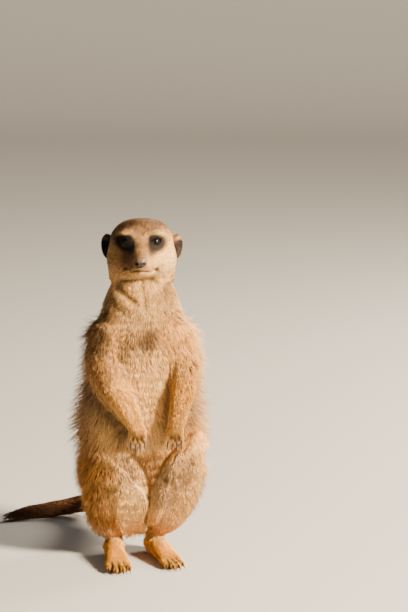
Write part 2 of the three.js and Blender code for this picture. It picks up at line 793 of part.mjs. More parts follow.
function makeLimbs(side, trunkBody) {
  const flip = side === "left" ? 1 : -1;
  const armWhole = skinOf.arm(side);
  const hind = hindDigits(side);
  const front = frontDigits(side);
  const wrist = smoothRow(ARM[side], 4.1).slice(0, 3);
  const elbow = smoothRow(ARM[side], 2).slice(0, 3);
  const [armTop, palm] = partedAt(armWhole, wrist, [0, 0.25, 1]);
  const [upper, fore] = partedAt(armTop, elbow, [flip * -0.1, 0.55, 1]);
  const sleeve = limbCoat(`arm_${side}`, side, upper, ARM[side].slice(0, 2), SHAGGY.arm, ARM_LOCK);
  place(`arm_${side}_upper`, sleeve, COAT.arm);
  place(`arm_${side}_lower`, fore, COAT.arm);
  const hand = fuse(palm, ...front.map((d) => d.toe));
  place(`hand_${side}`, cut(hand, fore, ...front.map((d) => d.socket)), COAT.foot);

  const thighOf = (grow) => skinOf.thigh(side, grow);
  const footOf = (grow) => skinOf.foot(side, grow);
  const other = (grow) => skinOf.thigh("right", grow);
  const share = side === "left" ? SHAGGY.legLeft : SHAGGY.legRight;
  const thigh = side === "left" ? clearOf(thighOf(0), other) : thighOf(0);
  const shank = clearOf(skinOf.shank(side), thighOf, footOf);
  const foot = onFloor(fuse(footOf(0), ...hind.map((d) => d.toe)));
  const coated = (name, core, rows) => limbCoat(`${name}_${side}`, side, core, rows, share, LEG_LOCK);
  place(`thigh_${side}`, coated("thigh", thigh, THIGH[side].toReversed()), COAT.leg);
  place(`shank_${side}`, coated("shank", shank, SHANK[side].slice(1, 4)), COAT.leg);
  place(`foot_${side}`, cut(foot, ...hind.map((d) => d.socket)), COAT.foot);
  for (const digit of [...front, ...hind]) place(digit.name, onFloor(digit.claw), HORN);
  const [armOf, shankOf] = [skinOf.arm, skinOf.shank].map((make) => (grow) => make(side, grow));
  return clearOf(trunkBody, armOf, thighOf, shankOf);
}

// Where the trunk is parted: a point and a normal.
const COLLAR = { at: [0, 4, 208], up: [0, 0.25, 1] };
const WAIST = { at: [0, 0, 138], up: [0, 0.12, 1] };
const sideOf = ({ at, up }) => (p) => dot(sub(p, at), unit(up));

function trunkCoat(node, core, top, bottom, beyond) {
  const stations = along([[0, 5, top], [0, 5, bottom]], BODY_LOCK.rows);
  return coat(node, core, {
    field: BODY.trunk,
    share: SHAGGY.trunk,
    stations,
    first: 62,
    last: 298,
    spacing: BODY_LOCK.width * 0.95,
    shape: BODY_LOCK,
    neighbours: [...allBut("trunk"), (p) => (beyond(p) ? BODY.trunk(p) : Infinity)],
  });
}

function makeTrunkAndTail() {
  let body = clearOf(skinOf.trunk(), skinOf.head);
  body = makeLimbs("left", body);
  body = makeLimbs("right", body);
  body = clearOf(body, skinOf.tail);
  const [upper, belly] = partedAt(body, WAIST.at, WAIST.up);
  const [neck, chest] = partedAt(upper, COLLAR.at, COLLAR.up);
  const [overCollar, overWaist] = [COLLAR, WAIST].map(sideOf);
  place("neck", neck, COAT.chest);
  const inChest = (p) => overCollar(p) < 0 && overWaist(p) > 0;
  place("chest", trunkCoat("chest", chest, 193, 148, (p) => !inChest(p)), COAT.chest);
  place("belly", trunkCoat("belly", belly, 128, 44, (p) => overWaist(p) > 0), COAT.belly);
  const legs = ["left", "right"].map((side) => (grow) => skinOf.thigh(side, grow));
  const tailWhole = clearOf(onFloor(skinOf.tail()), ...legs);
  const [tailBack, root] = partedAt(tailWhole, TAIL[3], sub(TAIL[4], TAIL[2]));
  const [tip, middle] = partedAt(tailBack, TAIL[5], sub(TAIL[6], TAIL[4]));
  place("tail_root", root, COAT.tail);
  place("tail_middle", middle, COAT.tail);
  place("tail_tip", tip, COAT.tailTip);
}

makeHead();
makeTrunkAndTail();

// The origin: on the floor under the middle of the model's box.
const box = new THREE.Box3().setFromObject(model);
const middle = box.getCenter(new THREE.Vector3());
model.position.set(-middle.x, -middle.y, 0);
export default model;
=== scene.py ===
"""A life-size meerkat model that sits up and watches ahead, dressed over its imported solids.

Shapes are worked out in body millimetres: +Z up, the animal looks along -Y, +X is its own left.
One signed field, negative inside, describes the animal to the tips of its coat. The skin is the
level set that lies deeper by the coat's depth, and the coat grows from the skin back out to it.
"""
import itertools
import math

import bmesh
import bpy
import numpy as np
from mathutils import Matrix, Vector, kdtree


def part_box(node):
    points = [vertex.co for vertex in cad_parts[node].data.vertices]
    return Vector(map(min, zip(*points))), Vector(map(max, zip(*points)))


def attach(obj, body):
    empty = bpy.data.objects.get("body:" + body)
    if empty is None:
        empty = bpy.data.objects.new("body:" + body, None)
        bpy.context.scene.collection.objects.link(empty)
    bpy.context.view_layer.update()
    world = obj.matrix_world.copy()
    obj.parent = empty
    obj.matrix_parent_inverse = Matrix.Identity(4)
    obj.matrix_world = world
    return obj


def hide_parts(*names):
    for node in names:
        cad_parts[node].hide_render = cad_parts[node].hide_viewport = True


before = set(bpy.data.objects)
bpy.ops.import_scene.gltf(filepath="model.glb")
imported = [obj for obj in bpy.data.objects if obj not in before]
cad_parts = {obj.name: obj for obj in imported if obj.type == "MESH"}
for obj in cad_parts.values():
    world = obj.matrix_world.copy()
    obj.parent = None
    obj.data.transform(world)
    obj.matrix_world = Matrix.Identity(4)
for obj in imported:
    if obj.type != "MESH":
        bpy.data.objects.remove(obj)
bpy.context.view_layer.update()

# ---- sizes, in millimetres
HEAD_AT = np.array([0.3, 2.0, 262.0])
EYE = {"x": 10.9, "y": -14.8, "z": 7.0, "r": 4.7}
NOSE_AT = np.array([0.0, -43.6, -5.2])
NOSE_SIZE = np.array([4.5, 4.5, 4.5])
EAR = {"x": 27.2, "y": 7.0, "z": -1.5, "size": (6.0, 8.4, 11.0)}
CORNEA = 0.28  # how far the eye bulges ahead
LID = 0.85  # the lids' thickness over the eye
EYE_OPENING = (3.5, 2.75, 4.2)  # between the lids: half its width, height and depth
LOOK = math.radians(22)  # how far each eye looks out from straight ahead
# The claws' lengths, radii at root and tip, and how much of each lies in its toe.
CLAW = {"front": 11.0, "hind": 7.5, "root": 1.3, "tip": 0.25, "buried": 3.0}
TOE = {"root": 3.3, "tip": 2.7}  # radii
# The four toes of a foot: how far aside each stands and how far it reaches.
HIND_TOES = [(-7, 9.5), (-2.4, 13), (2.4, 12.6), (7, 8.5)]
FRONT_TOES = [(-4.5, 7), (-1.5, 9), (1.5, 9), (4.5, 7)]
# How widely neighbouring parts flow together: in general, at the hips, ankles and toes.
MELT, HIP_MELT, ANKLE_MELT, TOE_MELT = 9.0, 16.0, 5, 1.5
# The same for the shapes within a part.
WITHIN = {"trunk": 10, "head": 6, "face": 3.5, "lap": 8, "toes": 1.2}
LOWEST = {"skin": 0.15, "coat": 0.1}  # how near the floor they come
MM = 1000.0  # millimetres in a metre
SEED = 11  # of the coat's random draws

# Rows of the trunk: x, y, z, half width, front half depth, back half depth, turn in degrees.
TRUNK = [
    (-1, 14, 34, 26, 18, 24, 16),
    (-1, 12, 54, 36, 28, 33, 16),
    (-1, 8, 82, 46, 35, 38, 13),
    (-1.5, 5, 110, 51.5, 36, 37, 10),
    (-1.5, 4, 136, 49, 33, 34, 8),
    (-0.5, 4, 162, 45, 30, 30, 6),
    (0, 4, 186, 38.5, 25, 27, 4),
    (0, 4, 205, 31.5, 21, 23.5, 2),
    (0.3, 4, 222, 25.6, 18.5, 21.5, 0),
    (0.3, 4, 240, 24, 17, 21, 0),
]
# The long hair that slopes from the neck to the left shoulder: x, y, z, radius.
MANTLE = [(11, 5, 228, 13), (16, 5, 217, 13.5), (22, 4, 205, 13.5), (28, 2, 192, 13.5)]
# Rows of the limbs and tail: x, y, z, radius.
ARM = {
    "right": [
        (-27, -1, 190, 15),
        (-31, -11, 172, 15),
        (-25, -23, 156, 13),
        (-16.5, -31, 143, 11.2),
        (-8.5, -36.5, 130, 8.8),
        (-3, -40, 118.5, 6.6),
    ],
    "left": [
        (28, -1, 190, 15),
        (35, -9, 172, 13.5),
        (35.5, -19, 156, 11.4),
        (33.4, -27, 143, 9.8),
        (30.6, -33.5, 130, 8.1),
        (27.6, -37, 118.5, 6.5),
    ],
}
THIGH = {
    "right": [(-27, 24, 58, 23), (-30, 8, 70, 23), (-32, -7, 80, 20.5), (-31, -14, 84, 18)],
    "left": [(26, 22, 58, 22), (29, 8, 68, 21.5), (34.5, -3, 79, 17), (36.5, -8, 84, 15)],
}
LAP = {
    "right": [
        (-15, -4, 88, 10),
        (-8, -11, 73, 12.4),
        (-5.5, -12, 57, 12.4),
        (-4.5, -7, 43, 10),
        (-2, -2, 33, 7),
    ],
    "left": [(24, -4, 86, 10), (17, -8, 72, 11.5), (15, -8, 57, 11), (13, -4, 44, 9)],
}
# The hair that fills the creases: between the right lobe and the shank, between the legs, and
# between the belly and the left thigh.
WEB = [(-18, -7, 86, 10.5), (-17.5, -9.8, 68, 12.3), (-16.5, -8.6, 50, 12), (-13, -3.5, 37, 9)]
MIDDLE_WEB = [(3, -8, 92, 13), (5, -10.5, 78, 12), (6.4, -10.5, 62, 11), (6, -7, 48, 9), (4, -2, 38, 6)]
LEFT_WEB = [(37, -5, 103, 9), (30, -7.5, 95, 11), (20, -9.5, 82, 11), (12, -10, 66, 10.5), (10, -7, 52, 9)]
SHANK = {
    "right": [
        (-31, -13, 80, 17),
        (-32, -10, 62, 18.5),
        (-31.5, -6, 46, 17.5),
        (-31, -2, 34, 15),
        (-26, 1, 24, 10),
        (-24, 2, 15, 8.5),
    ],
    "left": [
        (36.5, -8, 80, 14),
        (32, -7, 62, 17.5),
        (26.5, -4, 47, 16.5),
        (20.5, 1, 35, 14),
        (12.5, 7, 24, 9.8),
        (10.5, 9, 15, 8.4),
    ],
}
TAIL = [
    (-4, 32, 50, 16),
    (-12, 59, 38, 12.8),
    (-23, 88, 27.5, 10.4),
    (-38, 111, 18.5, 9),
    (-58, 124, 12.2, 8.1),
    (-80, 125, 7.6, 7.5),
    (-102, 119, 5.9, 6.2),
    (-119, 110, 4, 4.2),
]
# Rows of the hind feet: x, y, z, half width, height over the axis, depth under it.
FOOT = {
    "right": [
        (-24, 9, 8, 6.6, 7, 8.6),
        (-24, -3, 9.5, 7.6, 9, 10),
        (-22.6, -17, 8, 8.6, 7.6, 8.7),
        (-20.6, -30, 6.2, 9.8, 5.6, 6.9),
        (-19.6, -38, 5.2, 9.4, 4.4, 5.8),
    ],
    "left": [
        (8, 18, 8, 6.6, 7, 8.6),
        (11.4, 6, 9.5, 7.6, 9, 10),
        (16.2, -7, 8, 8.4, 7.6, 8.7),
        (20.8, -19, 6.2, 8.4, 5.6, 6.9),
        (23.4, -26.5, 5.2, 7.8, 4.4, 5.8),
    ],
}
# The head's masses, from its middle: place and radii, and for the braincase how square it is.
# The paired ones are those of its left.
BRAINCASE = ((0, 4, 0.8), (27, 25.5, 22.7), 2.35)
THROAT = ((0, 3, -17), (26, 20, 14))
CHEEKS = ((14.5, -3, -10.5), (14.3, 18, 14))
BROW_PADS = ((10.5, -12.5, 13.4), (8.5, 6, 4))
WHISKER_PADS = ((4.6, -36.5, -10.6), (5.4, 6.6, 4.6))
# Rows of muzzle and jaw, from the head's middle: x, y, z, half width, height over the axis, depth
# under it.
MUZZLE = [
    (0, -10, -5, 19, 15, 13),
    (0, -20, -6.4, 15, 12, 12),
    (0, -29, -7, 11.2, 9, 10),
    (0, -37, -7, 8.2, 7, 8),
    (0, -42, -6.8, 5.6, 5.4, 6),
]
JAW = [(0, -16, -17, 12, 5, 6), (0, -28, -16.2, 8.4, 4, 4.4), (0, -38, -14.6, 5, 2.6, 3)]
# The mouth's line on the head's left, and the lips' radius.
LIPS = [(0, -42.2, -13), (4, -40.2, -13.3), (7, -35.5, -14), (9.6, -29.5, -14.8)]
LIP_SIZE = 1.7

SIDES = ("right", "left")
FLIP = {"right": -1, "left": 1}


def eye_at(side):
    return HEAD_AT + np.array([FLIP[side] * EYE["x"], EYE["y"], EYE["z"]])


def middle_of(node_name):
    low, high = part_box(node_name)
    return (np.array(low) + np.array(high)) / 2 * MM


# The frame's millimetres less the body's, from where the eyes sit in both.
SHIFT = (middle_of("eye_right") + middle_of("eye_left") - eye_at("right") - eye_at("left")) / 2


def metres(points):
    return (np.asarray(points, float) + SHIFT) / MM


# ---- numbers
def ramp(v, low, high):
    t = np.clip((v - low) / (high - low), 0, 1)
    return t * t * (3 - 2 * t)


def unit(v):
    return v / np.maximum(np.linalg.norm(v, axis=-1, keepdims=True), 1e-9)


def dots(a, b):
    return np.sum(a * b, axis=-1)


def mixed(a, b, share):
    """a where the share is 0, b where it is 1."""
    return a + (b - a) * share


def near_line(away, width):
    """1 on a line, falling to 0 at about twice the width."""
    return np.exp(-((away / width) ** 2))


def waver(points, size, seed):
    """A smooth wandering number from about -1 to 1 over lengths of the given size."""
    rng = np.random.default_rng(seed)
    total = np.zeros(len(points))
    for _ in range(5):
        way = rng.normal(size=3)
        pace = 2 * math.pi / size / np.linalg.norm(way)
        total += np.sin(points @ way * pace + rng.uniform(0, 6.3))
    return total / 2.4


def wander(points, size, seed):
    """The same as a vector at every point."""
    return np.stack([waver(points, size, seed + k) for k in range(3)], 1)


def smooth_rows(rows, steps=4):
    """Points of a smooth curve through the rows, with the last row kept."""
    rows = np.array(rows, float)
    padded = np.vstack([rows[:1], rows, rows[-1:]])
    out = []
    for i in range(len(rows) - 1):
        a, b, c, d = padded[i : i + 4]
        for step in range(steps):
            f = step / steps
            cubic = (3 * b - a - 3 * c + d) * f**3
            out.append(0.5 * (2 * b + (c - a) * f + (2 * a - 5 * b + 4 * c - d) * f**2 + cubic))
    return np.array(out + [rows[-1]])


# ---- fields
FAR = 40.0  # what a field says where it isn't worked out
REACH = 16.0  # how far around its shape it is worked out
ROD_END = 0.7  # how far a flattened rod's end stands out, by its smaller half size


def bounded(exact, low, high):
    """A field that is only worked out near its own box."""

    def field(points):
        out = np.full(len(points), FAR)
        near = np.all((points > low - REACH) & (points < high + REACH), axis=1)
        if near.any():
            out[near] = exact(points[near])
        return out

    return field


def strung(rows, over=(0, 0, 1)):
    """A rod along a curve through rows. A row is x, y, z and a radius, or x, y, z, half the width
    and the heights towards the over side and away from it, with a turn about Z if it has one."""
    fine = smooth_rows(rows)
    round_rows = fine.shape[1] == 4
    widest = fine[:, 3:6].max()

    def exact(points):
        best = np.full(len(points), FAR)
        for a, b in zip(fine[:-1], fine[1:]):
            run = b[:3] - a[:3]
            offset = points - a[:3]
            t = np.clip(offset @ run / (run @ run), 0, 1)
            q = offset - t[:, None] * run
            reach = np.linalg.norm(q, axis=1)
            width = a[3] + (b[3] - a[3]) * t
            if round_rows:
                best = np.minimum(best, reach - width)
                continue
            turn = math.radians(a[6]) if len(a) > 6 else 0.0
            c, s = math.cos(turn), math.sin(turn)
            spin = np.array([[c, -s, 0], [s, c, 0], [0, 0, 1]])
            v = q @ (spin @ np.array(over, float))
            height = np.where(v > 0, a[4] + (b[4] - a[4]) * t, a[5] + (b[5] - a[5]) * t)
            low = np.minimum(width, height)
            sideways = q @ spin[:, 0] / width
            lengthways = q @ (run / np.linalg.norm(run)) / (low * ROD_END)
            k = np.maximum(np.sqrt(sideways**2 + (v / height) ** 2 + lengthways**2), 1e-6)
            best = np.minimum(best, np.where(k < 1e-5, -low, reach * (1 - 1 / k)))
        return best

    return bounded(exact, fine[:, :3].min(0) - widest, fine[:, :3].max(0) + widest)


def blob(at, radii, power=2.0):
    at, radii = np.array(at, float), np.array(radii, float)

    def exact(points):
        q = points - at
        k = np.maximum(np.sum(np.abs(q / radii) ** power, axis=1) ** (1 / power), 1e-6)
        return np.linalg.norm(q, axis=1) * (1 - 1 / k)

    return bounded(exact, at - radii, at + radii)


def fillet(a, b, k):
    h = np.maximum(k - np.abs(a - b), 0) / k
    return h * h * k / 4


def smooth_min(a, b, k):
    return np.minimum(a, b) - fillet(a, b, k)


def melt(k, *fields):
    def field(points):
        out = fields[0](points)
        for other in fields[1:]:
            out = smooth_min(out, other(points), k)
        return out

    return field


def on_head(rows):
    return [tuple(HEAD_AT + np.array(row[:3])) + tuple(row[3:]) for row in rows]


def both(at, radii):
    return [blob(HEAD_AT + np.array(at) * (flip, 1, 1), radii) for flip in (1, -1)]


def lip_line(flip):
    return [tuple(HEAD_AT + np.array(p) * (flip, 1, 1)) + (LIP_SIZE,) for p in LIPS]


def head_field():
    at, *size = BRAINCASE
    masses = [blob(HEAD_AT + at, *size), *both(*CHEEKS), blob(HEAD_AT + THROAT[0], THROAT[1])]
    bare = melt(WITHIN["head"], *masses, strung(on_head(MUZZLE)))
    details = [strung(on_head(JAW)), *both(*BROW_PADS), *both(*WHISKER_PADS)]
    return melt(WITHIN["face"], bare, *details, strung(lip_line(1)), strung(lip_line(-1)))


def hind_toes(side):
    """Roots, tips and claw ways of the four toes of a hind foot."""
    heel, end = (np.array(row[:3]) for row in FOOT[side][-2:])
    ahead = unit((end - heel) * (1, 1, 0))
    across = np.array([-ahead[1], ahead[0], 0])
    width = 0.82 if side == "left" else 1.0
    out = []
    for aside, reach in HIND_TOES:
        s = aside * width
        root = np.array([end[0], end[1], 4]) + across * s * 0.95 - ahead * 2
        tip = np.array([end[0], end[1], 3.2]) + across * s * 1.2 + ahead * reach
        out.append((root, tip, unit(ahead + across * s * 0.012 + (0, 0, -0.02))))
    return out


def front_toes(side):
    """Roots, tips and claw ways of the four toes of a front paw."""
    x, y, z = ARM[side][-1][:3]
    lean = 0.1 if side == "right" else -0.06
    out = []
    for s, reach in FRONT_TOES:
        root = np.array([x + s * 0.8, y - 0.8, z - 1])
        tip = np.array([x + s * 1.15, y - 1.6, z - reach])
        out.append((root, tip, unit(np.array([s * 0.02 + lean, -0.18, -1]))))
    return out


def mirrored(rows):
    return [(-row[0], *row[1:]) for row in rows]


def toe_field(toes):
    rods = [strung([(*root, TOE["root"]), (*tip, TOE["tip"])]) for root, tip, _ in toes]
    return melt(WITHIN["toes"], *rods)


# Each part's own field, and the neighbours that share a fillet with it.
MANTLES = [strung(MANTLE), strung(mirrored(MANTLE))]
SHAPES = {
    "trunk": melt(WITHIN["trunk"], strung(TRUNK, (0, -1, 0)), strung(MIDDLE_WEB), *MANTLES),
    "head": head_field(),
    "tail": strung(TAIL),
}
JOINED = {"trunk": [("head", MELT), ("tail", MELT)], "head": [("trunk", MELT)], "tail": [("trunk", MELT)]}
for side in SIDES:
    tables = {"arm": ARM, "thigh": THIGH, "shank": SHANK, "foot": FOOT}
    SHAPES.update({f"{name}_{side}": strung(table[side]) for name, table in tables.items()})
    web = strung(WEB if side == "right" else LEFT_WEB)
    SHAPES[f"lap_{side}"] = melt(WITHIN["lap"], strung(LAP[side]), web)
    SHAPES[f"toes_{side}"] = toe_field(hind_toes(side))
    SHAPES[f"fingers_{side}"] = toe_field(front_toes(side))
    JOINED["trunk"] += [(f"arm_{side}", MELT), (f"thigh_{side}", HIP_MELT)]
    JOINED[f"arm_{side}"] = [("trunk", MELT), (f"fingers_{side}", TOE_MELT)]
    JOINED[f"thigh_{side}"] = [("trunk", HIP_MELT), (f"shank_{side}", MELT), (f"lap_{side}", HIP_MELT)]
    JOINED[f"lap_{side}"] = [("trunk", HIP_MELT), (f"thigh_{side}", HIP_MELT), (f"shank_{side}", HIP_MELT)]
    near_shank = [(f"thigh_{side}", MELT), (f"foot_{side}", ANKLE_MELT), (f"lap_{side}", HIP_MELT)]
    JOINED[f"shank_{side}"] = near_shank
    JOINED[f"foot_{side}"] = [(f"shank_{side}", ANKLE_MELT), (f"toes_{side}", TOE_MELT)]
    JOINED[f"toes_{side}"] = [(f"foot_{side}", TOE_MELT)]
    JOINED[f"fingers_{side}"] = [(f"arm_{side}", TOE_MELT)]
PARTS = sorted(SHAPES)
STEMS = [name.split("_")[0] for name in PARTS]


def part_fields(points):
    """Every part's field with its share of the fillets, as rows in the order of PARTS."""
    bare = {name: SHAPES[name](points) for name in PARTS}
    rows = []
    for name in PARTS:
        own = bare[name]
        shares = sum(fillet(own, bare[other], k) for other, k in JOINED[name])
        rows.append(own - shares)
    return np.array(rows)


def bearing(points):
    """0 at the belly, pi at the spine."""
    return np.abs(np.arctan2(points[:, 0], 5 - points[:, 1]))


# ---- how the coat varies
# By part: depth under the outline, hair length, tuft width and tufts per square millimetre.
DEPTH, LENGTH, WIDTH, DENSITY = range(4)
COAT = {
    "head": (1.5, 2.9, 0.3, 4.4),
    "trunk": (3.8, 12.5, 0.46, 1.9),
    "tail": (3.0, 7.5, 0.55, 1.5),
    "arm": (2.2, 5.6, 0.42, 3.0),
    "fingers": (0.45, 1.2, 0.3, 5.0),
    "thigh": (6.0, 10.0, 0.55, 1.6),
    "lap": (2.2, 6.8, 0.42, 2.8),
    "shank": (4.0, 8.0, 0.55, 1.6),
    "foot": (1.2, 3.6, 0.34, 4.2),
    "toes": (0.6, 1.9, 0.3, 5.0),
}
# The same where the long bristly coat grows. A part that isn't listed has none.
LONG_COAT = {
    "trunk": (8.5, 15.0, 0.56, 1.7),
    "thigh": (8.5, 13.5, 0.56, 1.7),
    "shank": (6.5, 11.5, 0.54, 1.7),
    "arm": (5.5, 10.0, 0.5, 2.0),
}
BLUR = 4.5  # how far the parts' coats mix over their borders
SEAM = 1.5  # how much the border of two parts is rounded
STRAIGHT = 5.2  # hair shorter than this is one straight spike


class Place:
    """What the coat's functions ask about some points: their parts and the outline's field."""

    def __init__(self, points):
        self.points = points
        self.fields = part_fields(points)
        nearest = self.fields.min(0)
        self.outline = nearest - SEAM * np.log(np.exp((nearest - self.fields) / SEAM).sum(0))
        share = np.exp((nearest - self.fields) / BLUR)
        self.share = share / share.sum(0)

    def picked(self, pick):
        """The same with only the picked points."""
        made = Place.__new__(Place)
        made.points, made.outline = self.points[pick], self.outline[pick]
        made.share = self.share[:, pick]
        return made

    def of(self, stem):
        """The share of all parts whose name starts with the stem."""
        picked = [i for i, own in enumerate(STEMS) if own == stem]
        return self.share[picked].sum(0)

    def by_part(self, column, long):
        """A value of the coat's tables, between the short and the long coat."""
        short_values = np.array([COAT[stem][column] for stem in STEMS]) @ self.share
        long_values = np.array([LONG_COAT.get(stem, COAT[stem])[column] for stem in STEMS]) @ self.share
        return mixed(short_values, long_values, long)


def shaggy(place):
    """Where the long bristly coat of the back, flanks and outer legs grows, from 0 to 1."""
    x, y, z = place.points.T
    turn = bearing(place.points)
    body = ramp(turn, math.radians(44), math.radians(76)) * (1 - ramp(z, 200, 224))
    sleeve = np.maximum(ramp(np.abs(x), 30, 42), ramp(y, -14, 0)) * ramp(z, 138, 162)
    right = np.maximum(ramp(-x, 14, 30), ramp(y, 4, 16)) * ramp(z, 20, 34)
    left = np.maximum(ramp(x, 34, 43), ramp(y, 4, 16)) * ramp(z, 20, 34)
    legs = (place.of("thigh") + place.of("shank")) * np.where(x < 0, right, left)
    return np.clip(place.of("trunk") * body + place.of("arm") * sleeve + legs, 0, 1)


def bristly(place):
    """Where guard hairs stand well out from the flanks and shoulders, from 0 to 1."""
    z = place.points[:, 2]
    turn = bearing(place.points)
    sides = ramp(turn, math.radians(45), math.radians(70)) * (1 - 0.6 * ramp(turn, 2.1, 2.8))
    height = ramp(z, 26, 50) * (0.4 + 0.6 * ramp(z, 88, 112)) * (1 - 0.5 * ramp(z, 196, 212))
    return shaggy(place) * np.maximum(sides * height, 0.25)


def bald_leg(place):
    """The short pale hair on the front of the left thigh and shank, from 0 to 1."""
    x, y, _ = place.points.T
    front = (1 - ramp(y, -2, 10)) * (1 - ramp(x, 34, 43))
    legs = place.of("thigh") + place.of("shank")
    return legs * front * (x > 0)


def coat_depth(place):
    """How deep the skin lies under the outline."""
    deep = mixed(place.by_part(DEPTH, shaggy(place)), 2.0, bald_leg(place))
    behind = place.points[:, 1] - HEAD_AT[1]
    head = place.of("head")
    deep = deep - head * ramp(-behind, 14, 30) * 0.8
    return np.maximum(deep + head * ramp(behind, -6, 12), 0.35)


# ---- creases and openings in the skin
def distance_to_path(points, path, reach=8.0):
    """Distances from a smooth curve through the path, as far as the reach."""
    fine = smooth_rows(np.array(path, float)[:, :3], 5)
    out = np.full(len(points), FAR)
    near = np.all((points > fine.min(0) - reach) & (points < fine.max(0) + reach), axis=1)
    best = out[near]
    for a, b in zip(fine[:-1], fine[1:]):
        run = b - a
        offset = points[near] - a
        t = np.clip(offset @ run / (run @ run), 0, 1)
        best = np.minimum(best, np.linalg.norm(offset - t[:, None] * run, axis=1))
    out[near] = best
    return out


# Folds on the front: x and z along the crease, how wide and how deep it is, and how much painted
# shade darkens the coat in it.
FOLDS = [
    ([(-19, 231), (-12, 226), (-4, 219)], 1.9, 2.6, 0.75),
    ([(-24, 222), (-17, 214), (-9, 209)], 2.6, 1.0, 0.3),
    ([(0.6, 237), (2.2, 226), (3.4, 212)], 1.5, 1.2, 0.48),
    ([(20, 232), (13, 223), (8, 214)], 2.8, 1.1, 0.3),
    # Under the chin: a deep fold with a strong painted shadow.
    ([(-16, 236), (-8, 237), (0, 237.7), (6, 238.5), (8.5, 239.2)], 3.4, 3.6, 0.95),
    ([(-6, 96), (-2, 90), (3, 78), (5.5, 66), (6, 52), (3, 36)], 2.4, 1.8, 0.4),
    ([(31, 95), (21, 84), (13, 73), (7, 59)], 3.2, 0.8, 0.12),
]
FACE_REACH = 48  # how far the face's details reach about its middle
# Ridges of the brows, from the middle of the head, on its left: a path, how wide and how high.
BROW = ([(3.2, -23, 9.0), (8, -22, 12.2), (15, -17, 13.6), (21, -9, 12.6)], 2.2, 1.0)


def crease(points, path, width):
    """1 in the middle of a front crease, falling to 0 beside it and behind."""
    flat = points * (1, 0, 1)
    away = distance_to_path(flat, [(x, 0, z) for x, z in path])
    return near_line(away, width) * ramp(-points[:, 1], 0, 5)


def mouth_distance(points):
    """Distances from the mouth's line as it is seen from ahead, far away behind its corners."""
    flat = points * (1, 0, 1)
    lines = [[(x, 0, z) for x, _, z, _ in lip_line(flip)] for flip in (1, -1)]
    sides = [distance_to_path(flat, line) for line in lines]
    return np.where(points[:, 1] < HEAD_AT[1] - 15, np.minimum(*sides), FAR)


def eye_frame(side):
    """An eye's outward, sideways and upward directions."""
    out = np.array([FLIP[side] * math.sin(LOOK), -math.cos(LOOK), 0.06])
    out = out / np.linalg.norm(out)
    across = np.cross(out, (0, 0, 1))
    across = across / np.linalg.norm(across)
    return out, across, np.cross(across, out)


def skin_field(points):
    place = Place(points)
    field = place.outline + coat_depth(place)
    for path, width, deep, _ in FOLDS:
        field = field + deep * crease(points, path, width)
    at_face = np.linalg.norm(points - HEAD_AT - (0, -20, 0), axis=1) < FACE_REACH
    if at_face.any():
        field[at_face] = head_details(points[at_face], field[at_face])
    return field


def nose_pad(q):
    """The nose without its nostrils, from its middle: a rounded block sloped off at the top."""
    block = (np.sum(np.abs(q / NOSE_SIZE) ** 2.5, axis=1) ** 0.4 - 1) * 3.6
    return -smooth_min(-block, 2.9 - q @ np.array([0, 0.42, 0.91]), 1.2)


def head_details(points, field):
    """The field with the mouth's groove, the brows and lids, and the eyes and nose cut out."""
    field = field + 0.55 * near_line(mouth_distance(points), 1.0)
    path, width, rise = BROW
    for flip in (1, -1):
        ridge = [HEAD_AT + np.array(at) * (flip, 1, 1) for at in path]
        field = field - rise * near_line(distance_to_path(points, ridge), width)
    for side in SIDES:
        centre = eye_at(side)
        out, across, up = eye_frame(side)
        away = np.linalg.norm(points - centre, axis=1)
        field = smooth_min(field, away - EYE["r"] - LID, 1.8)
        q = points - centre - out * EYE["r"] + up * 0.25
        wide, high, deep = EYE_OPENING
        opening = np.sqrt((q @ across / wide) ** 2 + (q @ up / high) ** 2 + (q @ out / deep) ** 2)
        field = np.maximum(field, (1 - opening) * 3.0)
        field = np.maximum(field, EYE["r"] + 0.08 - away)
    return np.maximum(field, 0.1 - nose_pad(points - HEAD_AT - NOSE_AT))


# ---- level sets as meshes
def grid_points(axes):
    return np.stack(np.meshgrid(*axes, indexing="ij"), -1).reshape(-1, 3)


COARSE = 6  # fine steps in a coarse one
CHUNKS = 12  # pieces that the fine points are worked out in


def sampled(field, low, high, step):
    """A field on a regular grid, worked out in full only near its level set."""
    coarse = step * COARSE
    counts = np.ceil((np.array(high) - low) / coarse).astype(int) + 1
    rough_axes = [low[i] + coarse * np.arange(counts[i]) for i in range(3)]
    values = field(grid_points(rough_axes)).reshape(counts)
    fine_counts = (counts - 1) * COARSE + 1
    for axis in range(3):
        t = np.arange(fine_counts[axis]) / COARSE
        i = np.minimum(t.astype(int), counts[axis] - 2)
        f = (t - i).reshape([-1 if k == axis else 1 for k in range(3)])
        values = np.take(values, i, axis) * (1 - f) + np.take(values, i + 1, axis) * f
    close = np.abs(values) < coarse * 1.1
    points = np.array(low) + np.argwhere(close) * step
    values[close] = np.concatenate([field(chunk) for chunk in np.array_split(points, CHUNKS)])
    return values


CORNERS = list(itertools.product((0, 1), repeat=3))
EDGES = [
    (a, b)
    for a, b in itertools.combinations(range(8), 2)
    if sum(np.abs(np.subtract(CORNERS[a], CORNERS[b]))) == 1
]


def cell_vertices(values, cells):
    """By cell, in grid steps: the middle of the spots where its edges cross the level set."""
    corner = np.array([values[tuple((cells + c).T)] for c in CORNERS])
    total = np.zeros((len(cells), 3))
    crossings = np.zeros(len(cells))
    for a, b in EDGES:
        crossed = (corner[a] < 0) != (corner[b] < 0)
        t = np.where(crossed, corner[a] / np.where(crossed, corner[a] - corner[b], 1), 0)
        at = np.array(CORNERS[a]) + t[:, None] * np.subtract(CORNERS[b], CORNERS[a])
        total += np.where(crossed[:, None], at, 0)
        crossings += crossed
    return cells + total / crossings[:, None]


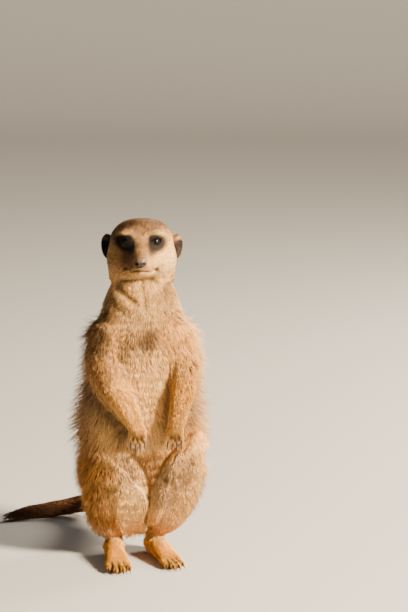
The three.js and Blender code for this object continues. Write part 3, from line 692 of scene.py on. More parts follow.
def quads_across(axis, inside, number):
    """Quads of the cells about each grid edge along the axis that crosses the level set."""
    u, v = (axis + 1) % 3, (axis + 2) % 3
    a = np.take(inside, range(inside.shape[axis] - 1), axis)
    b = np.take(inside, range(1, inside.shape[axis]), axis)
    spots = np.argwhere(a != b)
    for way in (u, v):
        spots = spots[(spots[:, way] > 0) & (spots[:, way] < number.shape[way])]
    ring = []
    for du, dv in ((-1, -1), (0, -1), (0, 0), (-1, 0)):
        cell = spots.copy()
        cell[:, u] += du
        cell[:, v] += dv
        ring.append(number[tuple(cell.T)])
    ring = np.array(ring).T
    return np.where(a[tuple(spots.T)][:, None], ring, ring[:, ::-1])


def surface_net(values, low, step):
    """Vertices and quads of the level set of sampled values."""
    inside = values < 0
    size = np.array(values.shape) - 1
    windows = [tuple(slice(c[i], c[i] + size[i]) for i in range(3)) for c in CORNERS]
    count = sum(inside[window].astype(np.uint8) for window in windows)
    cells = np.argwhere((count > 0) & (count < 8))
    number = np.full(size, -1, np.int32)
    number[tuple(cells.T)] = np.arange(len(cells))
    quads = [quads_across(axis, inside, number) for axis in range(3)]
    return low + cell_vertices(values, cells) * step, np.concatenate(quads)


def gradient(field, points, h=0.2, here=None):
    here = field(points) if here is None else here
    return np.stack([(field(points + d) - here) / h for d in np.eye(3) * h], 1)


def settle(field, vertices, rounds=2, most=0.8):
    """Moves vertices onto the field's level set."""
    for _ in range(rounds):
        here = field(vertices)
        slope = gradient(field, vertices, here=here)
        steep = np.maximum(np.sum(slope**2, 1), 0.15)
        move = -slope * (here / steep)[:, None]
        length = np.maximum(np.linalg.norm(move, axis=1, keepdims=True), 1e-9)
        vertices = vertices + move * np.minimum(length, most) / length
    return vertices


# ---- meshes in Blender
# The colours' attribute carries the markings with their painted light and shade.
MARKINGS_AND_LIGHT = "markings_and_painted_light"  # the colours' attribute


def new_object(name, data):
    made = bpy.data.objects.new(name, data)
    bpy.context.scene.collection.objects.link(made)
    return made


def mesh_object(name, vertices, faces):
    """A mesh from body millimetres. "faces" is an array of triangles or quads, or a list of them."""
    mesh = bpy.data.meshes.new(name)
    groups = faces if isinstance(faces, list) else [faces]
    loops = np.concatenate([f.ravel() for f in groups]).astype(np.int32)
    sizes = np.concatenate([np.full(len(f), f.shape[1]) for f in groups])
    mesh.vertices.add(len(vertices))
    mesh.vertices.foreach_set("co", metres(vertices).ravel())
    mesh.loops.add(len(loops))
    mesh.loops.foreach_set("vertex_index", loops)
    mesh.polygons.add(len(sizes))
    mesh.polygons.foreach_set("loop_start", (np.cumsum(sizes) - sizes).astype(np.int32))
    mesh.update(calc_edges=True)
    mesh.polygons.foreach_set("use_smooth", np.full(len(sizes), True))
    return new_object(name, mesh)


def paint(piece, colours):
    layer = piece.data.color_attributes.new(MARKINGS_AND_LIGHT, "FLOAT_COLOR", "POINT")
    rgba = np.ones((len(colours), 4), np.float32)
    rgba[:, :3] = np.clip(colours, 0, 1)
    layer.data.foreach_set("color", rgba.ravel())


def vertices_of(piece):
    out = np.empty(len(piece.data.vertices) * 3)
    piece.data.vertices.foreach_get("co", out)
    return out.reshape(-1, 3) * MM - SHIFT


def refine(piece, picks, field):
    """Halves the faces whose vertices are picked and settles the new vertices on the field."""
    net = bmesh.new()
    net.from_mesh(piece.data)
    net.verts.ensure_lookup_table()
    chosen = picks(vertices_of(piece))
    edges = [e for e in net.edges if chosen[e.verts[0].index] and chosen[e.verts[1].index]]
    bmesh.ops.subdivide_edges(net, edges=edges, cuts=1, use_grid_fill=True)
    net.to_mesh(piece.data)
    net.free()
    points = vertices_of(piece)
    moved = picks(points)
    points[moved] = settle(field, points[moved])
    piece.data.vertices.foreach_set("co", metres(points).ravel())
    piece.data.update()


# ---- markings, with painted light and shade
def linear(r, g, b):
    c = np.array([r, g, b]) / 255.0
    return np.where(c <= 0.04045, c / 12.92, ((c + 0.055) / 1.055) ** 2.4)


PALE = linear(250, 197, 122)
ORANGE = linear(150, 96, 37)
GREY_TAN = linear(180, 138, 92)
UMBER = linear(120, 85, 55)
DARK = linear(40, 29, 24)
BLACK = linear(24, 18, 17)

# By part: the coat's own colour.
BASE = {
    "head": linear(208, 156, 92),
    "trunk": linear(204, 158, 101),
    "tail": linear(134, 88, 50),
    "arm": linear(207, 138, 38),
    "fingers": linear(230, 166, 82),
    "thigh": ORANGE,
    "lap": linear(244, 190, 112),
    "shank": ORANGE,
    "foot": linear(240, 168, 50),
    "toes": linear(232, 164, 60),
}
# Marks on the head, from the middle of the braincase: place, radii, colour, strength.
HEAD_MARKS = [
    ((0, 6, 23), (27, 26, 14), linear(128, 88, 57), 0.75),
    ((0, -16, 16), (14, 8, 4), linear(164, 120, 80), 0.5),
    ((0, -22, 8), (3.4, 10, 9), linear(196, 152, 104), 0.6),
    ((21, -8, -6), (9, 12, 12), PALE, 0.7),
    ((-23, -8, 0), (7, 12, 6), PALE, 0.85),
    # Painted shade: the lower cheek and the temple on the head's right, its shaded side, darker.
    ((-17, -12, -13), (11, 12, 8), linear(168, 132, 98), 0.6),
    ((-23, -6, 9), (7, 12, 7), linear(150, 120, 94), 0.7),
    ((14, -20, -10), (9, 12, 9), PALE, 0.7),
    ((19, -10, -17), (10, 13, 8), linear(255, 214, 150), 0.7),
    # The muzzle's right side: partly its own brown, partly painted shade.
    ((-11, -28, -8), (7, 14, 9), linear(104, 70, 44), 0.75),
    ((0, -24, -23), (18, 22, 6), PALE, 0.8),
    ((0, -39, 0), (6.5, 9, 4.5), linear(140, 102, 73), 0.7),
    ((0, -46, -5), (8.5, 5, 7), linear(84, 60, 48), 0.6),
]
# Dark spots of the whiskers' roots on the muzzle: x, y, z and radius on the head's left.
WHISKER_SPOTS = [
    (12.8, -18.6, -15.0, 2.1),
    (9.4, -35, -11.2, 0.9),
    (10.6, -26, -13.6, 0.8),
    (7.2, -40, -11.2, 0.7),
    (15.8, -18.5, -12.6, 0.8),
]
# Dark strokes of the whisker rows, seen from ahead: x and z along each, width and strength.
FACE_LINES = [
    ([(-6, -9), (-9, -12.5), (-13.5, -15)], 0.9, 0.6),
    ([(-10, -5), (-12, -9), (-16, -12)], 0.9, 0.5),
    ([(-12, -16), (-17, -18), (-22, -18)], 1.0, 0.5),
    ([(5, -11), (8, -13.5), (12, -15)], 0.7, 0.35),
]
# Dark patches about the eyes: half width, drop from the eye, and for the wedge at the inner
# corner its place, depth, tone and strength.
EYE_PATCHES = {
    "left": (8.2, -1.6, 1.0, 7.5, DARK, 0.75),
    # The right patch is wider, deeper and blacker: painted shade over its own dark patch.
    "right": (10.8, -1.4, 3.4, 9.5, BLACK, 0.9),
}
# Painted shade on the front beside the arms, where they shadow it: x and z along it, how wide it is and how
# dark.
SHADES = [
    ([(-38, 140), (-27, 128), (-17, 115), (-9, 104)], 9.0, 0.8),
    ([(22, 152), (20.5, 136), (19.5, 120), (19, 104)], 3.6, 0.75),
]
# Painted shade along an arc under the upper chest: x and z along it and how wide it is.
BIB_SHADE = ([(-18, 172), (-9, 182), (3, 186), (9, 190)], 5.0)
BAND_SPACING = 15.5  # of the dark bands over the lower back
# Heights, and where the two edges of the orange wedge between the legs lie at each.
WEDGE = {
    "z": [40, 59, 76, 93, 100],
    "right_edge": [4.5, 6.0, 4.0, -4.0, -20],
    "left_edge": [5.5, 7.0, 15.2, 30.0, 42],
}


def spot(points, at, radii, soft=0.35):
    """1 inside an ellipsoid, falling softly to 0 outside it."""
    k = np.linalg.norm((points - np.array(at)) / np.array(radii), axis=1)
    return 1 - ramp(k, 1 - soft, 1 + soft)


def blend(colours, other, share):
    return mixed(colours, np.asarray(other), share[:, None])


def layered(colours, marks):
    """The colours under marks laid on in order, each a colour and its share at every point."""
    for colour, share in marks:
        colours = blend(colours, colour, share)
    return colours


def trunk_marks(place):
    """Pale throat and belly, brown flanks, the banded back, painted light on the shaded right flank, and
    painted shadows on the chest, in the armpits and beside the arms.
    """
    points, trunk = place.points, place.of("trunk")
    x, _, z = points.T
    turn = bearing(points)
    front = 1 - ramp(turn, math.radians(40), math.radians(75))
    back = ramp(turn, math.radians(75), math.radians(115))
    flank = ramp(turn, math.radians(42), math.radians(72)) * (1 - back)
    # Painted light: the right flank, on the side away from the key lamp, is lightened.
    shaded = flank * ramp(-x, 20, 36) * (1 - ramp(z, 150, 170))
    wave = z + 0.10 * np.abs(x) + 2 * waver(points, 60, 5)
    bands = 0.5 + 0.5 * np.sin(wave * (2 * math.pi / BAND_SPACING))
    low_back = back * ramp(z, 44, 62) * (1 - ramp(z, 168, 192))
    chest = spot(points, (7, -24, 188), (8, 14, 10), 0.5)
    # Painted shade in the armpits.
    right_pit_shade = spot(points, (-15, -26, 168), (4, 14, 8), 0.6)
    left_pit_shade = spot(points, (27, -22, 160), (4, 14, 14), 0.6)
    marks = [
        (PALE, trunk * front * ramp(z, 196, 222) * 0.85),
        (linear(246, 194, 118), trunk * front * (1 - ramp(z, 150, 190)) * 0.9),
        (linear(160, 120, 78), trunk * flank * (1 - ramp(z, 216, 240)) * 0.85),
        (linear(158, 116, 69), trunk * back * 0.85),
        (linear(186, 148, 108), trunk * shaded * 0.5),
        (ORANGE, trunk * flank * (1 - ramp(z, 92, 128)) * 0.8),
        (linear(70, 44, 27), trunk * low_back * ramp(bands, 0.5, 0.8) * 0.85),
        (linear(196, 150, 96), trunk * low_back * (1 - ramp(bands, 0.1, 0.4)) * 0.4),
        (linear(80, 54, 34), trunk * chest * 0.92),
        (linear(112, 77, 45), trunk * crease(points, *BIB_SHADE) * 0.8),
        (DARK, trunk * np.maximum(right_pit_shade, left_pit_shade) * 0.5),
    ]
    # Painted shade beside the arms.
    shade = linear(90, 66, 46)
    return marks + [(shade, trunk * crease(points, *line) * dark) for *line, dark in SHADES]


def leg_marks(place):
    """The wedge of orange hair under the belly, the pale lobe beside it with a painted highlight along its
    edge, and the grey oval.
    """
    x, y, z = place.points.T
    trunk = place.of("trunk")
    legs = place.of("thigh") + place.of("shank")
    low = legs + place.of("lap") + trunk * (1 - ramp(z, 92, 102))
    front = low * (1 - ramp(y, -6, 6))
    right_edge = np.interp(z, WEDGE["z"], WEDGE["right_edge"])
    left_edge = np.interp(z, WEDGE["z"], WEDGE["left_edge"])
    past_right = ramp(x, right_edge - 2, right_edge + 2)
    wedge = past_right * (1 - ramp(x, left_edge - 3, left_edge + 3))
    lobe = (1 - past_right) * ramp(x, -24, -9) * (1 - ramp(z, 94, 102))
    knee = (low + trunk * (1 - ramp(z, 104, 118))) * (ramp(z, 82, 95) * ramp(x, 12, 24))
    along = (x - 25) * 0.52 + (z - 70) * 0.85
    across = (x - 25) * 0.85 - (z - 70) * 0.52
    oval = 1 - ramp(np.sqrt((along / 27) ** 2 + (across / 12) ** 2), 0.72, 1.2)
    ankle = ramp(z, 13, 19) * (1 - ramp(z, 26, 36))
    return [
        (linear(252, 204, 134), front * lobe * 0.9),
        (GREY_TAN, front * lobe * ramp(z, 60, 74) * (1 - ramp(x, -8, 1)) * 0.9),
        # Painted highlight along the lobe's edge next to the wedge.
        (PALE, front * lobe * ramp(x, right_edge - 9, right_edge - 4) * 0.8),
        (linear(150, 99, 49), front * wedge * ramp(z, 48, 60) * 0.9),
        (linear(216, 156, 80), knee * 0.7),
        (linear(252, 198, 124), front * ramp(x, 8, 14) * (1 - wedge) * 0.75),
        (GREY_TAN, front * oval * 0.9),
        (linear(232, 172, 96), legs * (1 - ramp(z, 18, 40)) * 0.7),
        (linear(196, 154, 104), (legs + place.of("foot")) * ankle * 0.6),
        (DARK, 0.8 * spot(place.points, (21.6, -26, 73), (2.6, 8, 2.8), 0.6)),
        (DARK, 0.6 * spot(place.points, (1.2, -24, 69), (0.9, 8, 3.4), 0.6)),
    ]


def arm_and_tail_marks(place):
    """Brown and dark over the right shoulder and arm, partly painted shade, pale over the left, partly
    painted light, pale down the arms, and the tail's brown, partly painted shade, and its black tip.
    """
    x, y, z = place.points.T
    arm, tail = place.of("arm"), place.of("tail")
    high = (arm + place.of("trunk")) * ramp(z, 160, 182) * (1 - ramp(z, 216, 232))
    rows = ARM["right"][::-1]
    outward = np.interp(z, [row[2] for row in rows], [row[0] for row in rows]) - x
    return [
        (linear(206, 156, 98), arm * ramp(z, 146, 166) * 0.8),
        (linear(160, 116, 70), arm * ramp(z, 150, 170) * ramp(np.abs(x), 32, 44) * 0.7),
        # Partly dark grizzled hair, partly painted shade on the shaded right side.
        (linear(95, 71, 46), high * ramp(-x, 19, 33) * 0.85),
        # Painted shade on the right upper arm.
        (linear(162, 112, 60), arm * ramp(-x, 18, 30) * (1 - ramp(z, 160, 182)) * 0.8),
        (linear(150, 108, 64), arm * ramp(outward, 4, 11) * ramp(z, 112, 134) * (x < 0) * 0.6),
        # Partly pale hair, partly painted light on the lit left shoulder and upper arm.
        (linear(248, 190, 112), high * ramp(x, 17, 28) * (1 - ramp(y, -6, 4)) * 0.6),
        (linear(242, 176, 92), arm * (x > 0) * (1 - ramp(y, -10, 0)) * ramp(z, 140, 156) * 0.5),
        (PALE, arm * ramp(-y, 30, 38) * 0.3),
        (BLACK, tail * ramp(-x, 84, 104)),
        # Partly the tail's own brown, partly painted shade.
        (linear(92, 56, 32), tail * ramp(-x, 10, 84) * 0.8),
    ]


def toe_gaps():
    """The paths of the painted shade in the grooves between the toes of every foot."""
    gaps = []
    for side in SIDES:
        for toes, lift in ((hind_toes(side), (0, 0, 2.4)), (front_toes(side), (0, -2.2, 0))):
            lift = np.array(lift)
            for (root, tip, _), (next_root, next_tip, _) in zip(toes[:-1], toes[1:]):
                gaps.append([(root + next_root) / 2 + lift, (tip + next_tip) / 2 + lift * 0.5])
    return gaps


TOE_GAPS = toe_gaps()


def eye_patch(local, side):
    """How far a point is out of the dark patch about an eye and out of its wedge, 1 at the edge."""
    wide, low, inner, deep, _, _ = EYE_PATCHES[side]
    q = local * (FLIP[side], 1, 1) - np.array([EYE["x"] + 1.2, EYE["y"], EYE["z"] + low])
    along, over = q[:, 0] * 0.92 + q[:, 2] * 0.39, q[:, 2] * 0.92 - q[:, 0] * 0.39
    body = np.sqrt((along / wide) ** 2 + (over / 6.8) ** 2 + (q[:, 1] / 14) ** 2)
    inward = q[:, 0] + inner - 0.4 * q[:, 2]
    wedge = np.sqrt((inward / 4.4) ** 2 + ((q[:, 2] + 4) / deep) ** 2 + (q[:, 1] / 16) ** 2)
    return body, wedge


def eye_marks(local, head):
    """The dark patches about the eyes, the right one enlarged and blackened by painted shade, the pale
    brows over them and the dark lids.
    """
    marks = []
    path, width, _ = BROW
    for side, (*_, tone, strength) in EYE_PATCHES.items():
        body, wedge = eye_patch(local, side)
        brow = distance_to_path(local, [np.array(at) * (FLIP[side], 1, 1) + (0, 0, 1.6) for at in path])
        marks += [
            (UMBER, head * (1 - ramp(np.minimum(body, wedge), 0.85, 1.5)) * 0.85),
            (tone, head * (1 - ramp(wedge, 0.6, 1.2)) * strength),
            (tone, head * (1 - ramp(body, 0.74, 1.12)) * 0.97),
            (PALE, head * near_line(brow, width) * 0.6),
        ]
    for side in SIDES:
        away = np.linalg.norm(local + HEAD_AT - eye_at(side), axis=1)
        marks.append((DARK * 0.8, head * (1 - ramp(away, EYE["r"] + 1.2, EYE["r"] + 3.0))))
    return marks


def muzzle_marks(local, head):
    """The whiskers' spots and rows, the dark line of the mouth and the pale lower lip."""
    marks = []
    for x, y, z, size in WHISKER_SPOTS:
        for flip in (1, -1):
            dot = spot(local, (flip * x, y, z), (size, size * 2, size), 0.5)
            marks.append((DARK, head * dot * 0.95))
    ahead = ramp(-local[:, 1], 12, 18)
    for path, width, shade in FACE_LINES:
        away = distance_to_path(local * (1, 0, 1), [(x, 0, z) for x, z in path])
        marks.append((UMBER * 0.5, head * shade * near_line(away, width) * ahead))
    fade = 1 - 0.45 * ramp(np.abs(local[:, 0]), 4, 10)
    lips, lower = (mouth_distance(local + HEAD_AT + (0, 0, up)) for up in (-0.3, 2.6))
    marks.append((linear(36, 24, 19), head * fade * near_line(lips, 1.3) * 0.95))
    marks.append((PALE, head * near_line(lower, 1.3) * 0.8))
    return marks


def head_marks(place):
    """The crown, cheeks and muzzle, then the eyes and the mouth."""
    local, head = place.points - HEAD_AT, place.of("head")
    marks = []
    for at, radii, colour, strength in HEAD_MARKS:
        marks.append((colour, head * strength * spot(local, at, radii, 0.45)))
    marks.append((linear(150, 108, 69), head * ramp(local[:, 1], 8, 22) * 0.8))
    return marks + eye_marks(local, head) + muzzle_marks(local, head)


def markings_and_painted_light(place):
    """The coat's colour at every point, linear, with its painted light and shade."""
    colours = (np.array([BASE[stem] for stem in STEMS]).T @ place.share).T
    colours = layered(colours, trunk_marks(place) + leg_marks(place) + arm_and_tail_marks(place))
    # Painted shade in the folds.
    for path, width, _, shade in FOLDS:
        colours = blend(colours, colours * 0.3, crease(place.points, path, width * 0.8) * shade)
    # Painted shade between the toes.
    gaps = [near_line(distance_to_path(place.points, path), 1.5) for path in TOE_GAPS]
    return layered(colours, [(DARK, gap * 0.95) for gap in gaps] + head_marks(place))


# ---- the lie of the coat
WHIRL = (0, -50, -8)  # the point ahead of the nose that the head's hair runs away from


def part_runs():
    """Each limb's run of points and directions, from the body outwards."""
    runs = {"tail": TAIL}
    for side in SIDES:
        tables = {"arm": ARM, "shank": SHANK, "foot": FOOT, "lap": LAP}
        runs.update({f"{name}_{side}": table[side] for name, table in tables.items()})
        runs[f"thigh_{side}"] = THIGH[side][::-1]
    out = {}
    for name, rows in runs.items():
        fine = smooth_rows(rows)[:, :3]
        out[name] = (fine, unit(np.gradient(fine, axis=0)))
    return out


RUNS = part_runs()


def nearest_way(name, points):
    fine, ways = RUNS[name]
    best = np.argmin(np.linalg.norm(points[:, None] - fine[None], axis=2), axis=1)
    return ways[best]


def way_of(name, points):
    """The direction in which the hair of a part runs."""
    stem, _, side = name.partition("_")
    down = np.array([0, 0, -1.0])
    if stem == "head":
        way = unit(points - HEAD_AT - WHIRL)
        way = unit(way * (1, 1, 0.8) + down * 0.35 * ramp(-(points[:, 2:] - HEAD_AT[2]), -2, 16))
        return unit(way + down * 1.6 * ramp(points[:, 1:2] - HEAD_AT[1], 4, 20))
    if stem == "trunk":
        sideways = np.tanh(points[:, :1] / 12) * np.array([[0.3, 0, 0]])
        return down + sideways * ramp(points[:, 2:], 60, 120)
    if stem in ("toes", "fingers"):
        toes = hind_toes(side) if stem == "toes" else front_toes(side)
        return np.broadcast_to(unit(toes[1][1] - toes[1][0]), points.shape)
    way = nearest_way(name, points)
    if stem in ("thigh", "lap"):
        return unit(way * 0.15 + down)
    return unit(way + down * 0.7) if stem == "foot" else way


def lie_of(place, normals):
    """The direction in which the hair lies, in the skin's own plane."""
    points = place.points
    total = np.zeros_like(points)
    for name, share in zip(PARTS, place.share):
        total += way_of(name, points) * share[:, None]
    broad = wander(points, 17, 20) * 0.2
    fine = wander(points, 6, 30) * (0.08 + 0.16 * shaggy(place))[:, None]
    total = unit(total) + broad + fine
    return unit(total - normals * dots(total, normals)[:, None])


# ---- tufts
RING = np.array([[math.cos(a), math.sin(a)] for a in (math.pi / 2, math.pi * 7 / 6, math.pi * 11 / 6)])
HALF_WIDE, HALF_DEEP = 0.5, 0.32  # of a ring, by the tuft's width
PATCH = 0.003  # a tuft's patch on its UV map
UV_EDGE = 0.005  # what the patches' middles keep free at the map's edges
BRIGHTEST = 0.97  # of a tuft's colour, so that its hue holds to the tip
KINDS = {  # by kind: stations along the hair with their share of the tuft's width
    "straight": [(0.0, 1.0)],
    "bent": [(0.0, 0.85), (0.48, 0.85)],
}


def sprout(piece, field, rng):
    """Roots spread over the skin by the coat's density, with the place that they stand in."""
    points = vertices_of(piece)
    piece.data.calc_loop_triangles()
    corners = np.empty(len(piece.data.loop_triangles) * 3, np.int32)
    piece.data.loop_triangles.foreach_get("vertices", corners)
    triangles = points[corners.reshape(-1, 3)]
    one, other = triangles[:, 1] - triangles[:, 0], triangles[:, 2] - triangles[:, 0]
    area = np.linalg.norm(np.cross(one, other), axis=1) / 2
    wanted = np.cumsum(area * density(Place(triangles.mean(1))))
    spread = np.arange(0.5, wanted[-1]) + rng.uniform(-0.5, 0.5, int(wanted[-1] + 0.5))
    picks = np.clip(np.searchsorted(wanted, spread), 0, len(area) - 1)
    a, b = np.sqrt(rng.uniform(size=len(picks))), rng.uniform(size=len(picks))
    weights = np.stack([1 - a, a * (1 - b), a * b], 1)
    roots = np.sum(triangles[picks] * weights[:, :, None], axis=1)
    place = Place(roots)
    normals = unit(gradient(field, roots, 0.6))
    tips = roots - normals * (place.outline[:, None] + 1)
    outward = gradient(lambda points: part_fields(points).min(0), tips, 2.5)
    return place, unit(unit(outward) + normals * 0.35)


def throat_of(place):
    return place.of("trunk") * ramp(place.points[:, 2], 196, 214)


def density(place):
    """Tufts per square millimetre, none on the eyes, nose, lips and soles."""
    dense = mixed(place.by_part(DENSITY, shaggy(place)), 2.8, bald_leg(place))
    dense = mixed(dense, 3.0, throat_of(place))
    local = place.points - HEAD_AT
    dense = dense + place.of("head") * ramp(-local[:, 1], 14, 30) * 1.8
    bare = np.zeros(len(dense), bool)
    for side in SIDES:
        out, _, _ = eye_frame(side)
        q = place.points - eye_at(side)
        away = np.linalg.norm(q, axis=1)
        bare |= (away < EYE["r"] + 1.5) & (q @ out / away > 0.78)
        bare |= away < EYE["r"] + 0.3
    bare |= nose_pad(local - NOSE_AT) < 0.35
    bare |= place.points[:, 2] < 1.0
    bare |= (place.of("head") > 0.5) & (mouth_distance(place.points) < 0.8)
    return np.where(bare, 0, dense)


def hair_length(place):
    """Mean lengths, shorter on the muzzle, about the eyes and mouth and in the folds."""
    length = mixed(place.by_part(LENGTH, shaggy(place)), 4.6, bald_leg(place))
    behind = place.points[:, 1] - HEAD_AT[1]
    head = place.of("head")
    length = length - head * ramp(-behind, 12, 28) * 1.5
    length = length + head * ramp(behind, -4, 14) * 2.0
    eyes = np.min([np.linalg.norm(place.points - eye_at(side), axis=1) for side in SIDES], axis=0)
    length = length * (0.45 + 0.55 * ramp(eyes, 6, 12))
    length = length * (1 - 0.4 * head * (1 - ramp(mouth_distance(place.points), 1.5, 4)))
    length = mixed(length, 6.0, throat_of(place))
    for path, wide, _, shade in FOLDS:
        length = length * (1 - 0.65 * shade * crease(place.points, path, wide * 1.5))
    return length


def hair_sizes(place, normals, rng):
    """Each tuft's length, width and height over the skin, and whether it is a guard hair."""
    count = len(place.points)
    long = shaggy(place)
    width = mixed(place.by_part(WIDTH, long), 0.42, bald_leg(place))
    width = mixed(width, 0.36, throat_of(place))
    stiff = bristly(place) * (1 - 0.7 * ramp(normals[:, 2], 0.2, 0.7))
    guard = rng.uniform(size=count) < 0.4 * long
    over = rng.uniform(0.84 - 0.12 * long, 1.06) + guard * stiff * rng.uniform(0.5, 1.6, count)
    deep = np.minimum(-place.outline, coat_depth(place) + 0.6)
    height = deep * over * (1 - 0.35 * ramp(normals[:, 2], 0.2, 0.8))
    length = hair_length(place) * rng.uniform(0.72, 1.2, count) * (1 + 0.65 * guard * stiff)
    return length, width * rng.uniform(0.75, 1.25, count) * (1 + 0.25 * guard), height, guard


def stations(roots, normals, lie, length, height, kind):
    """The centre line of each tuft: more upright at the root, laid over towards the tip."""
    share = np.clip(height / length, 0.10, 0.88)
    lean = np.arccos(share)
    bend = np.minimum(np.radians(24), lean * 0.5)
    marks = [s for s, _ in KINDS[kind]] + [1.0]
    line = [roots]
    for a, b in zip(marks[:-1], marks[1:]):
        angle = lean + bend * (a + b - 1)
        run = normals * np.cos(angle)[:, None] + lie * np.sin(angle)[:, None]
        line.append(line[-1] + run * (length * (b - a))[:, None])
    return np.array(line)


def gather(line, spacing, pull, rng):
    """Draws the tips of neighbouring tufts together into locks and numbers the locks."""
    tips = line[-1].copy()
    seeds = rng.choice(len(tips), max(len(tips) // spacing, 1), replace=False)
    tree = kdtree.KDTree(len(seeds))
    for number, seed in enumerate(seeds):
        tree.insert(Vector(tips[seed]), number)
    tree.balance()
    nearest = np.array([tree.find(Vector(tip))[1] for tip in tips])
    drawn = (tips[seeds[nearest]] - tips) * (pull * rng.uniform(0.45, 1.0, len(tips)))[:, None]
    for k in range(1, len(line)):
        line[k] += drawn * (k / (len(line) - 1)) ** 1.6
    return line, nearest


def tuft_mesh(line, normals, lie, width, kind):
    """Three-sided tapering tufts as one mesh: vertices and triangles."""
    count = len(width)
    across = unit(np.cross(lie, normals))
    rings = []
    for (_, wide), centre in zip(KINDS[kind], line):
        offsets = RING[:, 0, None, None] * across * HALF_WIDE + RING[:, 1, None, None] * normals * HALF_DEEP
        rings.append(centre + offsets * (width * wide)[:, None])
    stack = np.concatenate([np.array(rings).reshape(-1, count, 3), line[-1][None]])
    per = len(stack)
    vertices = stack.transpose(1, 0, 2).reshape(-1, 3)
    pattern = [(0, 2, 1)]
    for ring in range(len(rings) - 1):
        for k in range(3):
            a, b = ring * 3 + k, ring * 3 + (k + 1) % 3
            pattern += [(a, b, b + 3), (a, b + 3, a + 3)]
    last = (len(rings) - 1) * 3
    pattern += [(last + k, last + (k + 1) % 3, per - 1) for k in range(3)]
    triangles = (np.arange(count)[:, None, None] * per + np.array(pattern)).reshape(-1, 3)
    return vertices, triangles


def fitted(flat):
    """Flat places stretched to fill a UV map up to its edges."""
    low, high = flat.min(0), flat.max(0)
    return UV_EDGE + (1 - 2 * UV_EDGE) * (flat - low) / (high - low)


def unwrap(name, points):
    """Where points of a coat piece lie on an unwrap of its skin about the piece's own axis."""
    x, y, z = points.T
    part = name.split("_")[1]
    if part == "head":
        x, y, z = (points - HEAD_AT).T
        flat = np.arctan2(x, z + 6), np.arctan2(np.hypot(x, z + 6), -y)
    elif part == "tail":
        flat = np.arctan2(z - 12, x + y), y - x
    elif part == "feet":
        flat = x + 0.3 * z, y
    elif part in ("leg", "arm"):
        centre = np.median(points, 0)
        flat = np.arctan2(x - centre[0], centre[1] - y), z
    elif part == "back":
        flat = np.arctan2(x, y - 5), z
    else:
        flat = np.arctan2(x, 5 - y), z
    return fitted(np.stack(flat, 1))


def tuft_uvs(spots, ring_count):
    """Small patches, one for each tuft, about their spots."""
    across = np.append(np.tile([-1, 0, 1], ring_count), 0) * PATCH / 2
    up = np.append(np.repeat(np.arange(ring_count), 3), ring_count) / ring_count - 0.5
    offsets = np.stack([across, up * PATCH], 1)
    return np.clip(spots[:, None] + offsets[None], 0, 1).reshape(-1, 2)


def add_bake_map(piece, uvs, triangles):
    layer = piece.data.uv_layers.new(name="OFBake")
    layer.data.foreach_set("uv", uvs[triangles.ravel()].astype(np.float32).ravel())


def flecks(place):
    """How strongly dark and pale hairs mix, from 0 to 1."""
    local = place.points - HEAD_AT
    head = place.of("head") * np.maximum(0.45, 0.9 * ramp(local[:, 2], 4, 14))
    cheek = place.of("head") * spot(local, (-24, -8, 0), (8, 12, 8), 0.4)
    sleeve = place.of("arm") * (0.1 + 0.7 * ramp(place.points[:, 2], 142, 162))
    short = np.max([place.of("trunk") * 0.4, place.of("foot") * 0.3], axis=0)
    return np.clip(np.max([shaggy(place), head, cheek, sleeve, short], axis=0), 0, 1)


CLEAR, MOST_RAISED = 0.35, 3  # how far over the skin a tip stays, and how far it's raised for that
# The coat's kinds of tufts: shape, roots in a lock, and how far a lock draws its tips together
# where the coat is short and how much further where it is long.
GUARD, SHORT, LONG = ("straight", 5, 0.8, 0), ("straight", 8, 0.35, 0), ("bent", 9, 0.25, 0.45)
FEWEST = 4  # tufts of a kind that a piece has, or none


def tuft_batch(tufts, kind_of_coat, field, rng):
    """Tufts of one kind: their vertices, triangles, colours and places on the bake map."""
    kind, spacing, pull, more = kind_of_coat
    roots, normals, lie, length, width, height, colours, flecked, long, spots = tufts
    line = stations(roots, normals, lie, length, height, kind)
    line, locks = gather(line, spacing, pull + more * long, rng)
    buried = np.maximum(CLEAR - field(line[-1]), 0)
    line[-1] += normals * np.minimum(buried, MOST_RAISED)[:, None]
    vertices, triangles = tuft_mesh(line, normals, lie, width, kind)
    shades = tuft_colours(colours, flecked, long, locks, kind, rng)
    return vertices, triangles, shades, tuft_uvs(spots, len(KINDS[kind]))


def coat_piece(name, place, normals, field, rng):
    """One piece of the coat from the roots of a region."""
    length, width, height, guard = hair_sizes(place, normals, rng)
    long = shaggy(place)
    lie = lie_of(place, normals)
    lie = lie + rng.normal(0, 1, lie.shape) * (0.05 + 0.22 * long + 0.1 * guard)[:, None]
    lie = unit(lie - normals * dots(lie, normals)[:, None])
    # Each tuft takes its colour half-way along its lie, a little astray.
    stray = rng.normal(0, 0.4, place.points.shape) * (1 + 2 * long[:, None])
    colours = markings_and_painted_light(Place(place.points + stray + lie * (0.5 * length)[:, None]))
    spots = unwrap(name, place.points)
    tufts = (place.points, normals, lie, length, width, height, colours, flecks(place), long, spots)
    batches = [
        (guard, GUARD),
        (~guard & (length < STRAIGHT), SHORT),
        (~guard & (length >= STRAIGHT), LONG),
    ]
    made = []
    for pick, kind_of_coat in batches:
        if pick.sum() >= FEWEST:
            made.append(tuft_batch([row[pick] for row in tufts], kind_of_coat, field, rng))
    vertices, triangles, shades, uvs = zip(*made)
    starts = np.cumsum([0] + [len(v) for v in vertices[:-1]])
    faces = np.concatenate([t + start for t, start in zip(triangles, starts)])
    points = np.concatenate(vertices)
    points[:, 2] = np.maximum(points[:, 2], LOWEST["coat"])
    piece = mesh_object(name, points, faces)
    paint(piece, np.concatenate(shades))
    add_bake_map(piece, np.concatenate(uvs), faces)
    return piece


# Where the coat is parted into pieces: turns from the belly, heights and widths.
PARTING = {"front": math.radians(62), "back": math.radians(115), "throat": 168, "upper_back": 128}
FACE_END = -9  # of the head, from its middle
ARM_MIDDLE, LEG_MIDDLE = 12, 3


